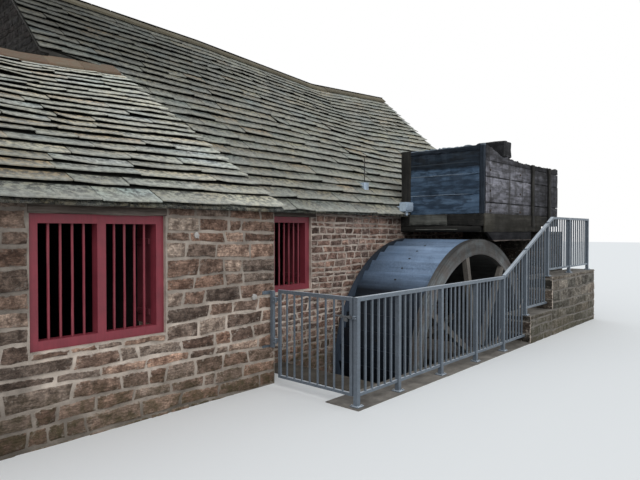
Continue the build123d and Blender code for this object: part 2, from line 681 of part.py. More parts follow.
def cross_beams():
    """Beams under the pentrough, housed in the range's front wall."""
    front = TROUGH_FRONT_Y + TANK_BOARD
    beams = []
    for start in CROSS_BEAM_STARTS:
        x0 = TROUGH_LEFT_X + start
        beams.append(block(x0, x0 + CROSS_BEAM_WIDTH, front, RANGE_FRONT_Y + BEAM_POCKET,
                           PIER_HEIGHT, CROSS_BEAM_TOP_Z))
    return beams


def trough_bearers():
    """Three long bearers on the cross beams."""
    middle = (TROUGH_FRONT_Y + TROUGH_BACK_Y - BEARER_WIDTH) / 2
    rows = (TROUGH_FRONT_Y, middle, TROUGH_BACK_Y - BEARER_WIDTH)
    return [block(TROUGH_LEFT_X, TROUGH_RIGHT_X, y, y + BEARER_WIDTH, CROSS_BEAM_TOP_Z, TANK_BASE_Z)
            for y in rows]


def trough_floor():
    """Floor boards between the tank's sides."""
    return block(TROUGH_LEFT_X + TANK_BOARD, TROUGH_RIGHT_X - TANK_BOARD, TROUGH_FRONT_Y + TANK_BOARD,
                 TROUGH_BACK_Y - TANK_BOARD, TANK_BASE_Z, TANK_BASE_Z + TANK_BOARD)


def trough_front_side():
    """Front side of the tank, its top edge broken down towards the right."""
    top = [(TROUGH_LEFT_X + x, TANK_TOP_Z - drop) for x, drop in BROKEN_TOP]
    start = TROUGH_LEFT_X + TANK_BOARD
    top[0] = (start, TANK_TOP_Z)
    profile = [(start, TANK_BASE_Z)] + top + [(TROUGH_RIGHT_X, TANK_BASE_Z)]
    return prism_y(profile, TROUGH_FRONT_Y, TROUGH_FRONT_Y + TANK_BOARD)


def trough_rear_side():
    """Rear side of the tank, against the range's wall."""
    return block(TROUGH_LEFT_X + TANK_BOARD, TROUGH_RIGHT_X, TROUGH_BACK_Y - TANK_BOARD, TROUGH_BACK_Y,
                 TANK_BASE_Z, TANK_TOP_Z)


def trough_left_end():
    """Boarded end of the tank over the wheel, between its two posts."""
    return block(TROUGH_LEFT_X, TROUGH_LEFT_X + TANK_BOARD, TROUGH_FRONT_Y + CORNER_POST,
                 TROUGH_BACK_Y - BACK_POST_WIDTH, TANK_BASE_Z, TANK_TOP_Z - TOP_RAIL_HEIGHT)


def trough_right_end():
    """Boarded end of the tank over the pier."""
    lowest = TANK_TOP_Z - max(drop for x, drop in BROKEN_TOP)
    return block(TROUGH_RIGHT_X - TANK_BOARD, TROUGH_RIGHT_X, TROUGH_FRONT_Y + TANK_BOARD,
                 TROUGH_BACK_Y - TANK_BOARD, TANK_BASE_Z, lowest)


def trough_frame():
    """Posts and top beam of the left-hand end in one frame, and two posts on the front side."""
    front = block(TROUGH_LEFT_X, TROUGH_LEFT_X + TANK_BOARD, TROUGH_FRONT_Y,
                  TROUGH_FRONT_Y + CORNER_POST, TANK_BASE_Z, TANK_TOP_Z)
    back = block(TROUGH_LEFT_X, TROUGH_LEFT_X + TANK_BOARD, TROUGH_BACK_Y - BACK_POST_WIDTH,
                 TROUGH_BACK_Y, TANK_BASE_Z, TANK_TOP_Z)
    lowest = TANK_TOP_Z - max(drop for x, drop in BROKEN_TOP)
    sides = [block(TROUGH_LEFT_X + start, TROUGH_LEFT_X + start + SIDE_POST_WIDTH,
                   TROUGH_FRONT_Y - SIDE_POST_THICKNESS, TROUGH_FRONT_Y, CROSS_BEAM_TOP_Z, lowest)
             for start in SIDE_POST_STARTS]
    rail = block(TROUGH_LEFT_X, TROUGH_LEFT_X + TOP_RAIL_WIDTH, TROUGH_FRONT_Y + CORNER_POST,
                 TROUGH_BACK_Y - BACK_POST_WIDTH, TANK_TOP_Z - TOP_RAIL_HEIGHT, TANK_TOP_Z)
    return [front + rail + back] + sides


def trough_sluice_block():
    """Old sluice timber that sits on the broken top near the corner."""
    x0 = TROUGH_LEFT_X + SLUICE_START
    (xa, drop_a), (xb, drop_b) = BROKEN_TOP[1], BROKEN_TOP[2]
    seat = TANK_TOP_Z - drop_a - (drop_b - drop_a) * (SLUICE_START - xa) / (xb - xa)
    return block(x0, x0 + SLUICE_LENGTH, TROUGH_FRONT_Y, TROUGH_FRONT_Y + SLUICE_WIDTH,
                 seat + SEAT_GAP, seat + SEAT_GAP + SLUICE_HEIGHT)


def trough_apron():
    """Fascia board hung under the front bearer."""
    x0 = TROUGH_LEFT_X + APRON_START
    x1 = TROUGH_LEFT_X + APRON_LENGTH
    foot = CROSS_BEAM_TOP_Z - APRON_DROP
    profile = [(x0, CROSS_BEAM_TOP_Z), (x0, CROSS_BEAM_TOP_Z - CROSS_BEAM_DEPTH), (x0 + APRON_SLANT, foot),
               (x1, foot), (x1, CROSS_BEAM_TOP_Z)]
    return prism_y(profile, TROUGH_FRONT_Y, TROUGH_FRONT_Y + TANK_BOARD)


def on_wheel(radius, angle):
    """Point (x, z) on the wheel at a radius and an angle from +X towards +Z."""
    turn = math.radians(angle)
    return WHEEL_X + radius * math.cos(turn), WHEEL_Z + radius * math.sin(turn)


def turned(shape, angle):
    """Shape turned about the wheel's axis, from +X towards +Z."""
    centre = Pos(WHEEL_X, 0, WHEEL_Z)
    return centre * Rot(0, -angle, 0) * centre.inverse() * shape


def shroud(y0, y1):
    """Ring of felloes, jointed in line with the arms."""
    ring = cylinder_y(WHEEL_RADIUS, WHEEL_X, WHEEL_Z, y0, y1)
    ring -= cylinder_y(SHROUD_INNER_RADIUS, WHEEL_X, WHEEL_Z, y0 - 1, y1 + 1)
    joint = block(WHEEL_X + SHROUD_INNER_RADIUS / 2, WHEEL_X + WHEEL_RADIUS + 1, y0 - 1, y1 + 1,
                  WHEEL_Z - FELLOE_JOINT / 2, WHEEL_Z + FELLOE_JOINT / 2)
    for k in range(ARM_COUNT):
        ring -= turned(joint, ARM_START_ANGLE + k * 360 / ARM_COUNT)
    return list(ring.solids())


def wheel_sole():
    """Planks of the drum behind the buckets, with an open joint between each pair."""
    half = BUCKET_PITCH / 2
    joint = math.degrees(BOARD_GAP / 2 / SHROUD_INNER_RADIUS)
    planks = []
    for k in range(BUCKET_COUNT):
        middle = ARM_START_ANGLE + k * BUCKET_PITCH
        low, high = middle - half + joint, middle + half - joint
        inner = SHROUD_INNER_RADIUS
        outer = SHROUD_INNER_RADIUS + SOLE_THICKNESS
        points = [on_wheel(inner, low), on_wheel(outer, low), on_wheel(outer, high), on_wheel(inner, high)]
        planks.append(prism_y(points, BUCKET_FRONT_Y, BUCKET_BACK_Y))
    return planks


def bucket_risers():
    """Radial boards that stand on the sole and close each bucket's foot."""
    sole_top = SHROUD_INNER_RADIUS + SOLE_THICKNESS
    half = BUCKET_BOARD / 2
    board = block(WHEEL_X + sole_top + SEAT_GAP, WHEEL_X + ELBOW_RADIUS, BUCKET_FRONT_Y, BUCKET_BACK_Y,
                  WHEEL_Z - half, WHEEL_Z + half)
    return [turned(board, ARM_START_ANGLE + k * BUCKET_PITCH) for k in range(BUCKET_COUNT)]


def bucket_fronts():
    """Slanting outer boards, each from an elbow to the rim, lapping past the next bucket."""
    lip_radius = WHEEL_RADIUS - BUCKET_LIP_INSET - BUCKET_BOARD
    foot_radius = ELBOW_RADIUS + SEAT_GAP
    foot_turn = math.degrees(BUCKET_BOARD / 2 / foot_radius)
    boards = []
    for k in range(BUCKET_COUNT):
        riser_angle = ARM_START_ANGLE + k * BUCKET_PITCH
        foot = on_wheel(foot_radius, riser_angle + foot_turn)
        lip = on_wheel(lip_radius, riser_angle - BUCKET_LIP_ANGLE)
        along = (lip[0] - foot[0], lip[1] - foot[1])
        length = math.hypot(*along)
        across = (-along[1] / length * BUCKET_BOARD, along[0] / length * BUCKET_BOARD)
        outer_lip = (lip[0] + across[0], lip[1] + across[1])
        outer_foot = (foot[0] + across[0], foot[1] + across[1])
        boards.append(prism_y([foot, lip, outer_lip, outer_foot], BUCKET_FRONT_Y, BUCKET_BACK_Y))
    return boards


def wheel_arms(y0, y1):
    """Arms from the hub to the felloes."""
    arm = block(WHEEL_X + ARM_INNER_RADIUS, WHEEL_X + WHEEL_RADIUS, y0, y1,
                WHEEL_Z - ARM_WIDTH / 2, WHEEL_Z + ARM_WIDTH / 2)
    arm &= cylinder_y(SHROUD_INNER_RADIUS - SEAT_GAP, WHEEL_X, WHEEL_Z, y0, y1)
    return [turned(arm, ARM_START_ANGLE + k * 360 / ARM_COUNT) for k in range(ARM_COUNT)]


def shaft_prism(flats, y0, y1):
    """Octagonal bar along the wheel's axis."""
    corner = flats / 2 / math.cos(math.pi / 8)
    points = [(WHEEL_X + corner * math.cos(math.pi / 8 + k * math.pi / 4),
               WHEEL_Z + corner * math.sin(math.pi / 8 + k * math.pi / 4)) for k in range(8)]
    return prism_y(points, y0, y1)


def wheel_hub(y0, y1):
    """Iron disc that the arms are bolted to."""
    disc = cylinder_y(HUB_RADIUS, WHEEL_X, WHEEL_Z, y0, y1)
    return disc - shaft_prism(SHAFT_FLATS + 2 * SEAT_GAP, y0 - 1, y1 + 1)


def wheel_shaft():
    """Octagonal timber shaft with an iron gudgeon at each end."""
    y0 = WHEEL_FRONT_Y + SHAFT_OVERSAIL
    y1 = WHEEL_BACK_Y - SHAFT_OVERSAIL
    shaft = shaft_prism(SHAFT_FLATS, y0, y1)
    shaft += cylinder_y(GUDGEON_RADIUS, WHEEL_X, WHEEL_Z, FRONT_BEARING_Y - GUDGEON_TAIL, y0)
    rear_end = REAR_BEARING_Y + BEARING_LENGTH + GUDGEON_TAIL
    return shaft + cylinder_y(GUDGEON_RADIUS, WHEEL_X, WHEEL_Z, y1, rear_end)


def bearing(y0):
    """Plummer block: a round body on a broad base, bored for the gudgeon."""
    y1 = y0 + BEARING_LENGTH
    foot = WHEEL_Z - NICHE_BELOW
    half = BEARING_WIDTH / 2
    outer = GUDGEON_RADIUS + BEARING_WALL
    body = cylinder_y(outer, WHEEL_X, WHEEL_Z, y0, y1)
    body += block(WHEEL_X - outer, WHEEL_X + outer, y0, y1, foot, WHEEL_Z)
    body += block(WHEEL_X - half, WHEEL_X + half, y0, y1, foot, foot + BEARING_BASE)
    return body - cylinder_y(GUDGEON_RADIUS + BEARING_CLEARANCE, WHEEL_X, WHEEL_Z, y0 - 1, y1 + 1)


def rail_z(x):
    """Top of the railing's top rail at x: level, then rising, then level again."""
    start = POST_CENTRES[RISE_POST_INDEX]
    share = (x - start) / (RAIL_BREAK_X - start)
    return RAIL_TOP_Z + (RAIL_HIGH_Z - RAIL_TOP_Z) * min(max(share, 0.0), 1.0)


def kerb_z(x):
    """Top of the pit's front wall at x."""
    return max([0.0] + [height for start, height in zip(STEP_STARTS, STEP_HEIGHTS) if x >= start])


def gate_keeper():
    """Bored block on the corner post that takes the bolt's tip."""
    x = GATE_X - GATE_THICKNESS / 2 - BOLT_STAPLE / 2
    post_face = POST_CENTRES[0] - POST_SIZE / 2
    half = KEEPER_SIZE / 2
    keeper = block(x - half, post_face, RAIL_Y - half, RAIL_Y + half, BOLT_Z - half, BOLT_Z + half)
    return keeper - cylinder_y(KEEPER_BORE_RADIUS, x, BOLT_Z, RAIL_Y - half - 1, RAIL_Y + half + 1)


def railing_posts():
    """Square posts on the pit's front wall, the first one with the gate's keeper."""
    half = POST_SIZE / 2
    posts = [block(x - half, x + half, RAIL_Y - half, RAIL_Y + half, kerb_z(x), rail_z(x))
             for x in POST_CENTRES]
    return [posts[0] + gate_keeper()] + posts[1:]


def railing_bay(index):
    """Panel between two posts: top rail, lower rail and upright bars."""
    x0 = POST_CENTRES[index] + POST_SIZE / 2
    x1 = POST_CENTRES[index + 1] - POST_SIZE / 2
    places = [x0] + [x for x in (RAIL_BREAK_X,) if x0 < x < x1] + [x1]
    top = [(x, rail_z(x)) for x in places]
    under = [(x, z - RAIL_HEIGHT) for x, z in reversed(top)]
    panel = prism_y(top + under, RAIL_Y - RAIL_DEPTH / 2, RAIL_Y + RAIL_DEPTH / 2)
    low = kerb_z(x0) + LOWER_RAIL_CLEARANCE
    half = LOWER_RAIL_DEPTH / 2
    panel += block(x0, x1, RAIL_Y - half, RAIL_Y + half, low, low + LOWER_RAIL_HEIGHT)
    pitch = (x1 - x0) / (BARS_PER_BAY[index] + 1)
    for k in range(BARS_PER_BAY[index]):
        x = x0 + (k + 1) * pitch
        head = rail_z(x) - RAIL_HEIGHT / 2
        panel += block(x - BAR_SIZE / 2, x + BAR_SIZE / 2, RAIL_Y - BAR_SIZE / 2, RAIL_Y + BAR_SIZE / 2,
                       low + LOWER_RAIL_HEIGHT / 2, head)
    return panel


def hinge_eye_foot(lift):
    """Underside of a gate's hinge eye above its lug."""
    return HANGING_POST_FOOT_Z + lift + HINGE_LUG_HEIGHT + SEAT_GAP


def gate_frame():
    """Barred gate with two stiles, two rails and the eyes of its hinges."""
    x0 = GATE_X - GATE_THICKNESS / 2
    x1 = GATE_X + GATE_THICKNESS / 2
    foot = LOWER_RAIL_CLEARANCE
    gate = block(x0, x1, GATE_LOCK_Y, GATE_LOCK_Y + GATE_STILE, foot, GATE_TOP_Z)
    gate += block(x0, x1, GATE_HINGE_Y - GATE_STILE, GATE_HINGE_Y, foot, GATE_TOP_Z)
    gate += block(x0, x1, GATE_LOCK_Y, GATE_HINGE_Y, GATE_TOP_Z - RAIL_HEIGHT, GATE_TOP_Z)
    gate += block(x0, x1, GATE_LOCK_Y, GATE_HINGE_Y, foot, foot + LOWER_RAIL_HEIGHT)
    inner0 = GATE_LOCK_Y + GATE_STILE / 2
    inner1 = GATE_HINGE_Y - GATE_STILE / 2
    half = GATE_BAR_SIZE / 2
    for k in range(GATE_BARS):
        y = inner0 + (inner1 - inner0) * (k + 1) / (GATE_BARS + 1)
        gate += block(GATE_X - half, GATE_X + half, y - half, y + half, foot, GATE_TOP_Z - RAIL_HEIGHT / 2)
    for lift in HINGE_LUG_LIFTS:
        z0 = hinge_eye_foot(lift)
        z1 = z0 + HINGE_EYE_HEIGHT
        gate += Pos(GATE_X, HINGE_Y, (z0 + z1) / 2) * Cylinder(HINGE_EYE_RADIUS, z1 - z0)
        gate += block(GATE_X - HINGE_PIN_RADIUS, GATE_X + HINGE_PIN_RADIUS, GATE_HINGE_Y, HINGE_Y, z0, z1)
        bore = Cylinder(HINGE_PIN_RADIUS + HINGE_CLEARANCE, z1 - z0 + 2)
        gate -= Pos(GATE_X, HINGE_Y, (z0 + z1) / 2) * bore
    return gate


def gate_hanging_post():
    """Post held off the wing's wall by two straps, with a lug and a pin for each hinge."""
    half = HANGING_POST_SIZE / 2
    back = HANGING_POST_Y + HANGING_POST_SIZE
    post = block(GATE_X - half, GATE_X + half, HANGING_POST_Y, back, HANGING_POST_FOOT_Z, HANGING_POST_TOP_Z)
    for z in (HANGING_POST_FOOT_Z, HANGING_POST_TOP_Z - STRAP_HEIGHT):
        post += block(GATE_X - STRAP_THICKNESS / 2, GATE_X + STRAP_THICKNESS / 2, back, WING_FRONT_Y,
                      z, z + STRAP_HEIGHT)
        post += block(GATE_X - STRAP_LENGTH, GATE_X, WING_FRONT_Y - STRAP_THICKNESS, WING_FRONT_Y,
                      z, z + STRAP_HEIGHT)
    for lift in HINGE_LUG_LIFTS:
        z0 = HANGING_POST_FOOT_Z + lift
        z1 = z0 + HINGE_LUG_HEIGHT
        post += Pos(GATE_X, HINGE_Y, (z0 + z1) / 2) * Cylinder(HINGE_EYE_RADIUS, z1 - z0)
        post += block(GATE_X - HINGE_EYE_RADIUS, GATE_X + HINGE_EYE_RADIUS, HINGE_Y, HANGING_POST_Y, z0, z1)
        pin_top = hinge_eye_foot(lift) + HINGE_EYE_HEIGHT
        post += Pos(GATE_X, HINGE_Y, (z1 + pin_top) / 2) * Cylinder(HINGE_PIN_RADIUS, pin_top - z1)
    return post


def gate_bolt():
    """Slide bolt on the gate's outer side, drawn back from its keeper."""
    x = GATE_X - GATE_THICKNESS / 2 - BOLT_STAPLE / 2
    tip = RAIL_Y + POST_SIZE / 2 + KEEPER_CLEARANCE
    bolt = cylinder_y(BOLT_RADIUS, x, BOLT_Z, tip, tip + BOLT_LENGTH)
    half = BOLT_STAPLE / 2
    for y in (GATE_LOCK_Y + GATE_STILE / 2, GATE_LOCK_Y + GATE_STILE / 2 + BOLT_STAPLE_GAP):
        bolt += block(x - half, x + half, y - half, y + half, BOLT_Z - half, BOLT_Z + half)
    return bolt


def gate_padlock():
    """Padlock that hangs from the bolt between its staples."""
    x = GATE_X - GATE_THICKNESS / 2 - BOLT_STAPLE / 2
    y = GATE_LOCK_Y + GATE_STILE / 2 + BOLT_STAPLE_GAP / 2
    top = BOLT_Z - BOLT_RADIUS - SEAT_GAP
    return block(x - PADLOCK_THICKNESS / 2, x + PADLOCK_THICKNESS / 2, y - PADLOCK_WIDTH / 2,
                 y + PADLOCK_WIDTH / 2, top - PADLOCK_HEIGHT, top)


def build_nodes():
    """Every node of the model by name."""
    arms = wheel_arms(WHEEL_FRONT_Y, BUCKET_FRONT_Y) + wheel_arms(BUCKET_BACK_Y, WHEEL_BACK_Y)
    hubs = [wheel_hub(BUCKET_FRONT_Y, BUCKET_FRONT_Y + HUB_THICKNESS),
            wheel_hub(BUCKET_BACK_Y - HUB_THICKNESS, BUCKET_BACK_Y)]
    nodes = {
        "range_front_wall": range_front_wall(),
        "range_rear_wall": range_rear_wall(),
        "range_left_gable": range_left_gable(),
        "range_right_gable": range_right_gable(),
        "range_roof_front": range_roof_front(),
        "range_roof_rear": range_roof_rear(),
        "range_ridge_tiles": range_ridge_tiles(),
        "wing_front_wall": wing_front_wall(),
        "wing_left_gable": wing_left_gable(),
        "wing_rear_wall": wing_rear_wall(),
        "wing_return_wall": wing_return_wall(),
        "wing_roof_front": wing_roof_front(),
        "wing_roof_rear": wing_roof_rear(),
        "wing_ridge_tiles": wing_ridge_tiles(),
        "ground_floors": [range_floor(), wing_floor()],
        "wing_window_frame": wing_window_frame(),
        "wing_window_shutter": wing_window_shutter(),
        "range_window_frames": range_window_frames(),
        "range_window_shutters": range_window_shutters(),
        "window_lintels": [wing_lintel(), range_front_lintel()] + range_rear_lintels(),
        "door_frame": door_frame(),
        "door_leaf": door_leaf(),
        "pit_front_wall": pit_front_wall(),
        "pit_left_wall": pit_left_wall(),
        "trough_pier": trough_pier(),
        "trough_cross_beams": cross_beams(),
        "trough_bearers": trough_bearers(),
        "trough_floor": trough_floor(),
        "trough_sides": [trough_front_side(), trough_rear_side()],
        "trough_ends": [trough_left_end(), trough_right_end()],
        "trough_frame": trough_frame(),
        "trough_sluice_block": trough_sluice_block(),
        "trough_apron": trough_apron(),
        "wheel_shrouds": shroud(WHEEL_FRONT_Y, BUCKET_FRONT_Y) + shroud(BUCKET_BACK_Y, WHEEL_BACK_Y),
        "wheel_sole": wheel_sole(),
        "wheel_bucket_risers": bucket_risers(),
        "wheel_bucket_fronts": bucket_fronts(),
        "wheel_arms": arms,
        "wheel_hubs": hubs,
        "wheel_shaft": wheel_shaft(),
        "shaft_bearings": [bearing(FRONT_BEARING_Y), bearing(REAR_BEARING_Y)],
        "railing_posts": railing_posts(),
        "railing_bays": [railing_bay(k) for k in range(len(BARS_PER_BAY))],
        "gate_frame": gate_frame(),
        "gate_hanging_post": gate_hanging_post(),
        "gate_lock": [gate_bolt(), gate_padlock()],
    }
    return nodes


def export_nodes(nodes):
    """Moves every node to the model's origin and writes it as one file."""
    os.makedirs("parts", exist_ok=True)
    place = Pos(-ORIGIN.X, -ORIGIN.Y, -ORIGIN.Z)
    for name, shape in nodes.items():
        pieces = shape if isinstance(shape, list) else [shape]
        solids = [solid for piece in pieces for solid in piece.solids()]
        moved = [place * solid for solid in solids]
        export_step(moved[0] if len(moved) == 1 else Compound(moved), f"parts/{name}.step")


export_nodes(build_nodes())
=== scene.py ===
"""Looks of a stone watermill: coursed stones, slates, a timber wheel, a boarded tank and a steel railing."""

import logging
import math
from dataclasses import dataclass, field
from enum import Enum
from typing import Callable, Optional, Sequence

import bpy
import numpy as np
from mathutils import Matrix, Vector


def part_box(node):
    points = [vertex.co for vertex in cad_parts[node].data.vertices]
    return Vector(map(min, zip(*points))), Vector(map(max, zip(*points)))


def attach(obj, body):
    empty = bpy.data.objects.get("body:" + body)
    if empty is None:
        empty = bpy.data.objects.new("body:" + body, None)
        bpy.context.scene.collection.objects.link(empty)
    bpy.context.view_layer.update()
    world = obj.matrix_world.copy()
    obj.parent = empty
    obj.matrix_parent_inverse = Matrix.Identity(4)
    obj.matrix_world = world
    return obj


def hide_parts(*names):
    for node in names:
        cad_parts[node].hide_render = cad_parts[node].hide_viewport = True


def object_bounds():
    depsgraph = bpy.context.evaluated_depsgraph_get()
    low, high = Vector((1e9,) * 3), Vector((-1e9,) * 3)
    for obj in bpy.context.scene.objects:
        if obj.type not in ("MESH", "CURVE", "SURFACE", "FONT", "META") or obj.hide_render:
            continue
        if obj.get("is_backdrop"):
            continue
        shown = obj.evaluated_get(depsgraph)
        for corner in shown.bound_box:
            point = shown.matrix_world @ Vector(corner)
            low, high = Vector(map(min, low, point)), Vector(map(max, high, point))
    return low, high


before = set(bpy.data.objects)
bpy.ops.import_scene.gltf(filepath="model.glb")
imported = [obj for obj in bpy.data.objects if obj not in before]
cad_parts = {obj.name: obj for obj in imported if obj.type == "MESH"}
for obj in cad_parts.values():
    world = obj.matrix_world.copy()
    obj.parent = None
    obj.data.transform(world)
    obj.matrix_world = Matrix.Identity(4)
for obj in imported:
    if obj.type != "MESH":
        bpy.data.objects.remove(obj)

LOG = logging.getLogger("watermill")
Point = Sequence[float]
Colour = tuple[float, float, float]
Span = tuple[float, float]
Box = tuple[np.ndarray, np.ndarray]
Patch = tuple[float, float, float, float]
Line = Callable[[np.ndarray], np.ndarray]
Material = bpy.types.Material
Socket = bpy.types.NodeSocket
Tree = bpy.types.NodeTree
Rng = np.random.Generator
seeded = np.random.default_rng

ROOF_SLAB = 0.100
EAVES_SLAB = 0.022
SLAB_STEP = 0.031
TANK_GAP = 0.006
WING_SAG = 0.095
FRONT_RECESS = 0.017
BEARING_NICHE = (0.28, 0.35)
SMOOTH_BELOW = math.radians(48.0)
NEVER = 90.0
FAR = 99.0
BESIDE_TANK = 0.020


class Body(str, Enum):
    """The bodies that pieces ride on."""

    MILL = "mill"
    WHEEL = "wheel"


class Slot(str, Enum):
    """Material slots of the record."""

    MASONRY = "masonry"
    SLATES = "stone_slates"
    RIDGE = "ridge_stone"
    PAINT = "red_paint"
    LINTEL = "lintel_timber"
    TROUGH = "trough_timber"
    BUCKET = "bucket_timber"
    IRON = "cast_iron"
    STEEL = "galvanised_steel"


class Side(Enum):
    """Way that a wall's face looks: the direction along it, and the way out."""

    FRONT = ((1, 0, 0), (0, -1, 0))
    REAR = ((1, 0, 0), (0, 1, 0))
    LEFT = ((0, 1, 0), (-1, 0, 0))
    RIGHT = ((0, 1, 0), (1, 0, 0))


# Shapes as arrays


@dataclass
class Shape:
    """A closed surface, or several: points, faces by number of corners, and named values at the points."""

    points: np.ndarray
    faces: list[np.ndarray]
    values: dict[str, np.ndarray] = field(default_factory=dict)

    def outward(self) -> "Shape":
        """Turns every face round if the volume, the sum of corner triple products over six, is below 0.

        Returns:
            The same shape.
        """
        centre, total = self.points.mean(axis=0), 0.0
        for block in self.faces:
            corners = self.points[block] - centre
            for k in range(1, block.shape[1] - 1):
                total += np.einsum("ij,ij->", corners[:, 0], np.cross(corners[:, k], corners[:, k + 1]))
        if total < 0:
            self.faces = [block[:, ::-1] for block in self.faces]
        return self

    def valued(self, **values: float) -> "Shape":
        """Sets values that are the same at all of the shape's points.

        Args:
            values: Value by name.

        Returns:
            The same shape.
        """
        for name, value in values.items():
            self.values[name] = np.full(len(self.points), value)
        return self


def join(shapes: Sequence[Shape]) -> Shape:
    """Puts shapes together in one.

    Args:
        shapes: Shapes that may lack some of the others' values, which then are 0.

    Returns:
        One shape with all of the values.
    """
    starts = np.cumsum([0] + [len(shape.points) for shape in shapes])
    faces: dict[int, list[np.ndarray]] = {}
    for start, shape in zip(starts, shapes):
        for block in shape.faces:
            faces.setdefault(block.shape[1], []).append(block + start)
    values = {}
    for name in sorted({name for shape in shapes for name in shape.values}):
        blank = lambda shape: np.zeros((len(shape.points), 3) if name == "grain" else len(shape.points))
        values[name] = np.concatenate([shape.values.get(name, blank(shape)) for shape in shapes])
    return Shape(np.concatenate([s.points for s in shapes]), [np.concatenate(f) for f in faces.values()],
                 values)


def copies(faces: np.ndarray, count: int, size: int) -> np.ndarray:
    """Faces of many like pieces: the first one's, each time moved on by the number of points of a piece.

    Args:
        faces: Faces of the first piece.
        count: Number of pieces.
        size: Points of a piece.

    Returns:
        Faces of all pieces.
    """
    return (faces[None] + (np.arange(count) * size)[:, None, None]).reshape(-1, faces.shape[1])


def box_shape(lo: Point, hi: Point) -> Shape:
    """Plain block between two corners: the eight sums of one bound from each axis.

    Args:
        lo: Lowest corner.
        hi: Highest corner.

    Returns:
        The block's surface.
    """
    pick = np.array([[i, j, k] for i in (0, 1) for j in (0, 1) for k in (0, 1)])
    points = np.stack([np.array([lo, hi], float)[pick[:, axis], axis] for axis in range(3)], axis=1)
    faces = np.array([[0, 1, 3, 2], [4, 6, 7, 5], [0, 4, 5, 1], [2, 3, 7, 6], [0, 2, 6, 4], [1, 5, 7, 3]])
    return Shape(points, [faces]).outward()


def tube(rings: np.ndarray) -> Shape:
    """Closed skins over rows of rings: point j of a ring joins point j of the next, and flat ends close them.

    Args:
        rings: Points as an array of rings by points by 3, or of pieces by rings by points by 3.

    Returns:
        All of the pieces in one shape.
    """
    count, around = rings.shape[-3:-1]
    pieces = rings.size // (count * around * 3)
    index = np.arange(count * around).reshape(count, around)
    after = np.roll(index, -1, axis=1)
    sides = np.stack([index[:-1], after[:-1], after[1:], index[1:]], axis=2).reshape(-1, 4)
    ends = np.stack([index[0, ::-1], index[-1]])
    return Shape(rings.reshape(-1, 3), [copies(part, pieces, count * around)
                                        for part in (sides, ends)]).outward()


def drum(centre: Point, axis: int, radii: Sequence[float], places: Sequence[float], sides: int = 16) -> Shape:
    """Turned piece: rings of radius r at places p along an axis, so point = centre + r (cos, sin) + p.

    Args:
        centre: Point that the places count from.
        axis: 0, 1 or 2 for X, Y or Z.
        radii: Radius of each ring.
        places: Place of each ring along the axis.
        sides: Points in a ring.

    Returns:
        A closed shape.
    """
    turn = np.linspace(0, 2 * math.pi, sides, endpoint=False)
    rings = np.zeros((len(radii), sides, 3))
    first, second = [a for a in range(3) if a != axis]
    rings[:, :, first] = np.array(radii)[:, None] * np.cos(turn)
    rings[:, :, second] = np.array(radii)[:, None] * np.sin(turn)
    rings[:, :, axis] = np.array(places)[:, None]
    return tube(rings + np.array(centre))


def divided(start: float, end: float, widths: Span, rng: Rng) -> np.ndarray:
    """Places that divide a stretch: random widths added up, and scaled so that they fill it.

    Args:
        start: Start of the stretch.
        end: End of the stretch.
        widths: Least and greatest width.
        rng: Random numbers.

    Returns:
        The places, with both ends.
    """
    found = rng.uniform(*widths, max(1, round((end - start) / (sum(widths) / 2))))
    return start + np.concatenate([[0], np.cumsum(found)]) * (end - start) / found.sum()


@dataclass
class Timber:
    """A sawn board, beam or post whose faces wander and whose arrises are worn."""

    lo: Point
    hi: Point
    axis: int
    wander: float = 0.0015
    arris: float = 0.006
    stations: int = 14
    top: Optional[Line] = None
    foot: Optional[Line] = None
    ragged: float = 0.0

    def shape(self, rng: Rng) -> Shape:
        """Carries a rectangle with cut corners along the axis.

        A point of the section is the rectangle's middle plus its half size times the unit section, moved by
        noise that changes slowly along the board. Grain holds the place along, across and through the board.

        Args:
            rng: Random numbers.

        Returns:
            A closed shape with the values grain and tone.
        """
        lo, hi = np.array(self.lo, float), np.array(self.hi, float)
        first, second = [a for a in range(3) if a != self.axis]
        half = (hi - lo)[[first, second]] / 2
        u, v = 1 - np.minimum(self.arris / half, 0.45)
        section = np.array([(-u, -1), (0, -1), (u, -1), (1, -v), (1, 0), (1, v),
                            (u, 1), (0, 1), (-u, 1), (-1, v), (-1, 0), (-1, -v)])
        place = lo[self.axis] + (hi[self.axis] - lo[self.axis]) * np.linspace(0, 1, self.stations)
        rings = np.zeros((self.stations, len(section), 3))
        rings[:, :, self.axis] = place[:, None]
        rings[:, :, first] = lo[first] + half[0] * (1 + section[:, 0])
        rings[:, :, second] = lo[second] + half[1] * (1 + section[:, 1])
        if self.axis != 2:
            high = self.top(place) if self.top else np.full(self.stations, hi[2])
            low = self.foot(place) if self.foot else np.full(self.stations, lo[2])
            rings[:, :, 2] = low[:, None] + (high - low)[:, None] * (section[:, 1] + 1) / 2
        noise = rng.normal(0, self.wander, rings.shape)
        noise = (noise + np.roll(noise, 1, axis=0) + np.roll(noise, -1, axis=0)) / 1.7
        noise[:, :, self.axis] *= 0.5
        rings += noise
        if self.ragged:
            rings[:, section[:, 1] > 0.5, second] += rng.uniform(-self.ragged, 0, (self.stations, 1))
        rings[[0, -1], :, self.axis] += rng.normal(0, self.wander, (2, 1))
        made = tube(rings)
        made.values["grain"] = rings[:, :, [self.axis, first, second]].reshape(-1, 3) + rng.uniform(-20, 20,
                                                                                                    3)
        return made.valued(tone=rng.uniform())


def hewn(rng: Rng, *timbers: Timber) -> Shape:
    """Several timbers in one shape, made in order."""
    return join([timber.shape(rng) for timber in timbers])


# Node trees


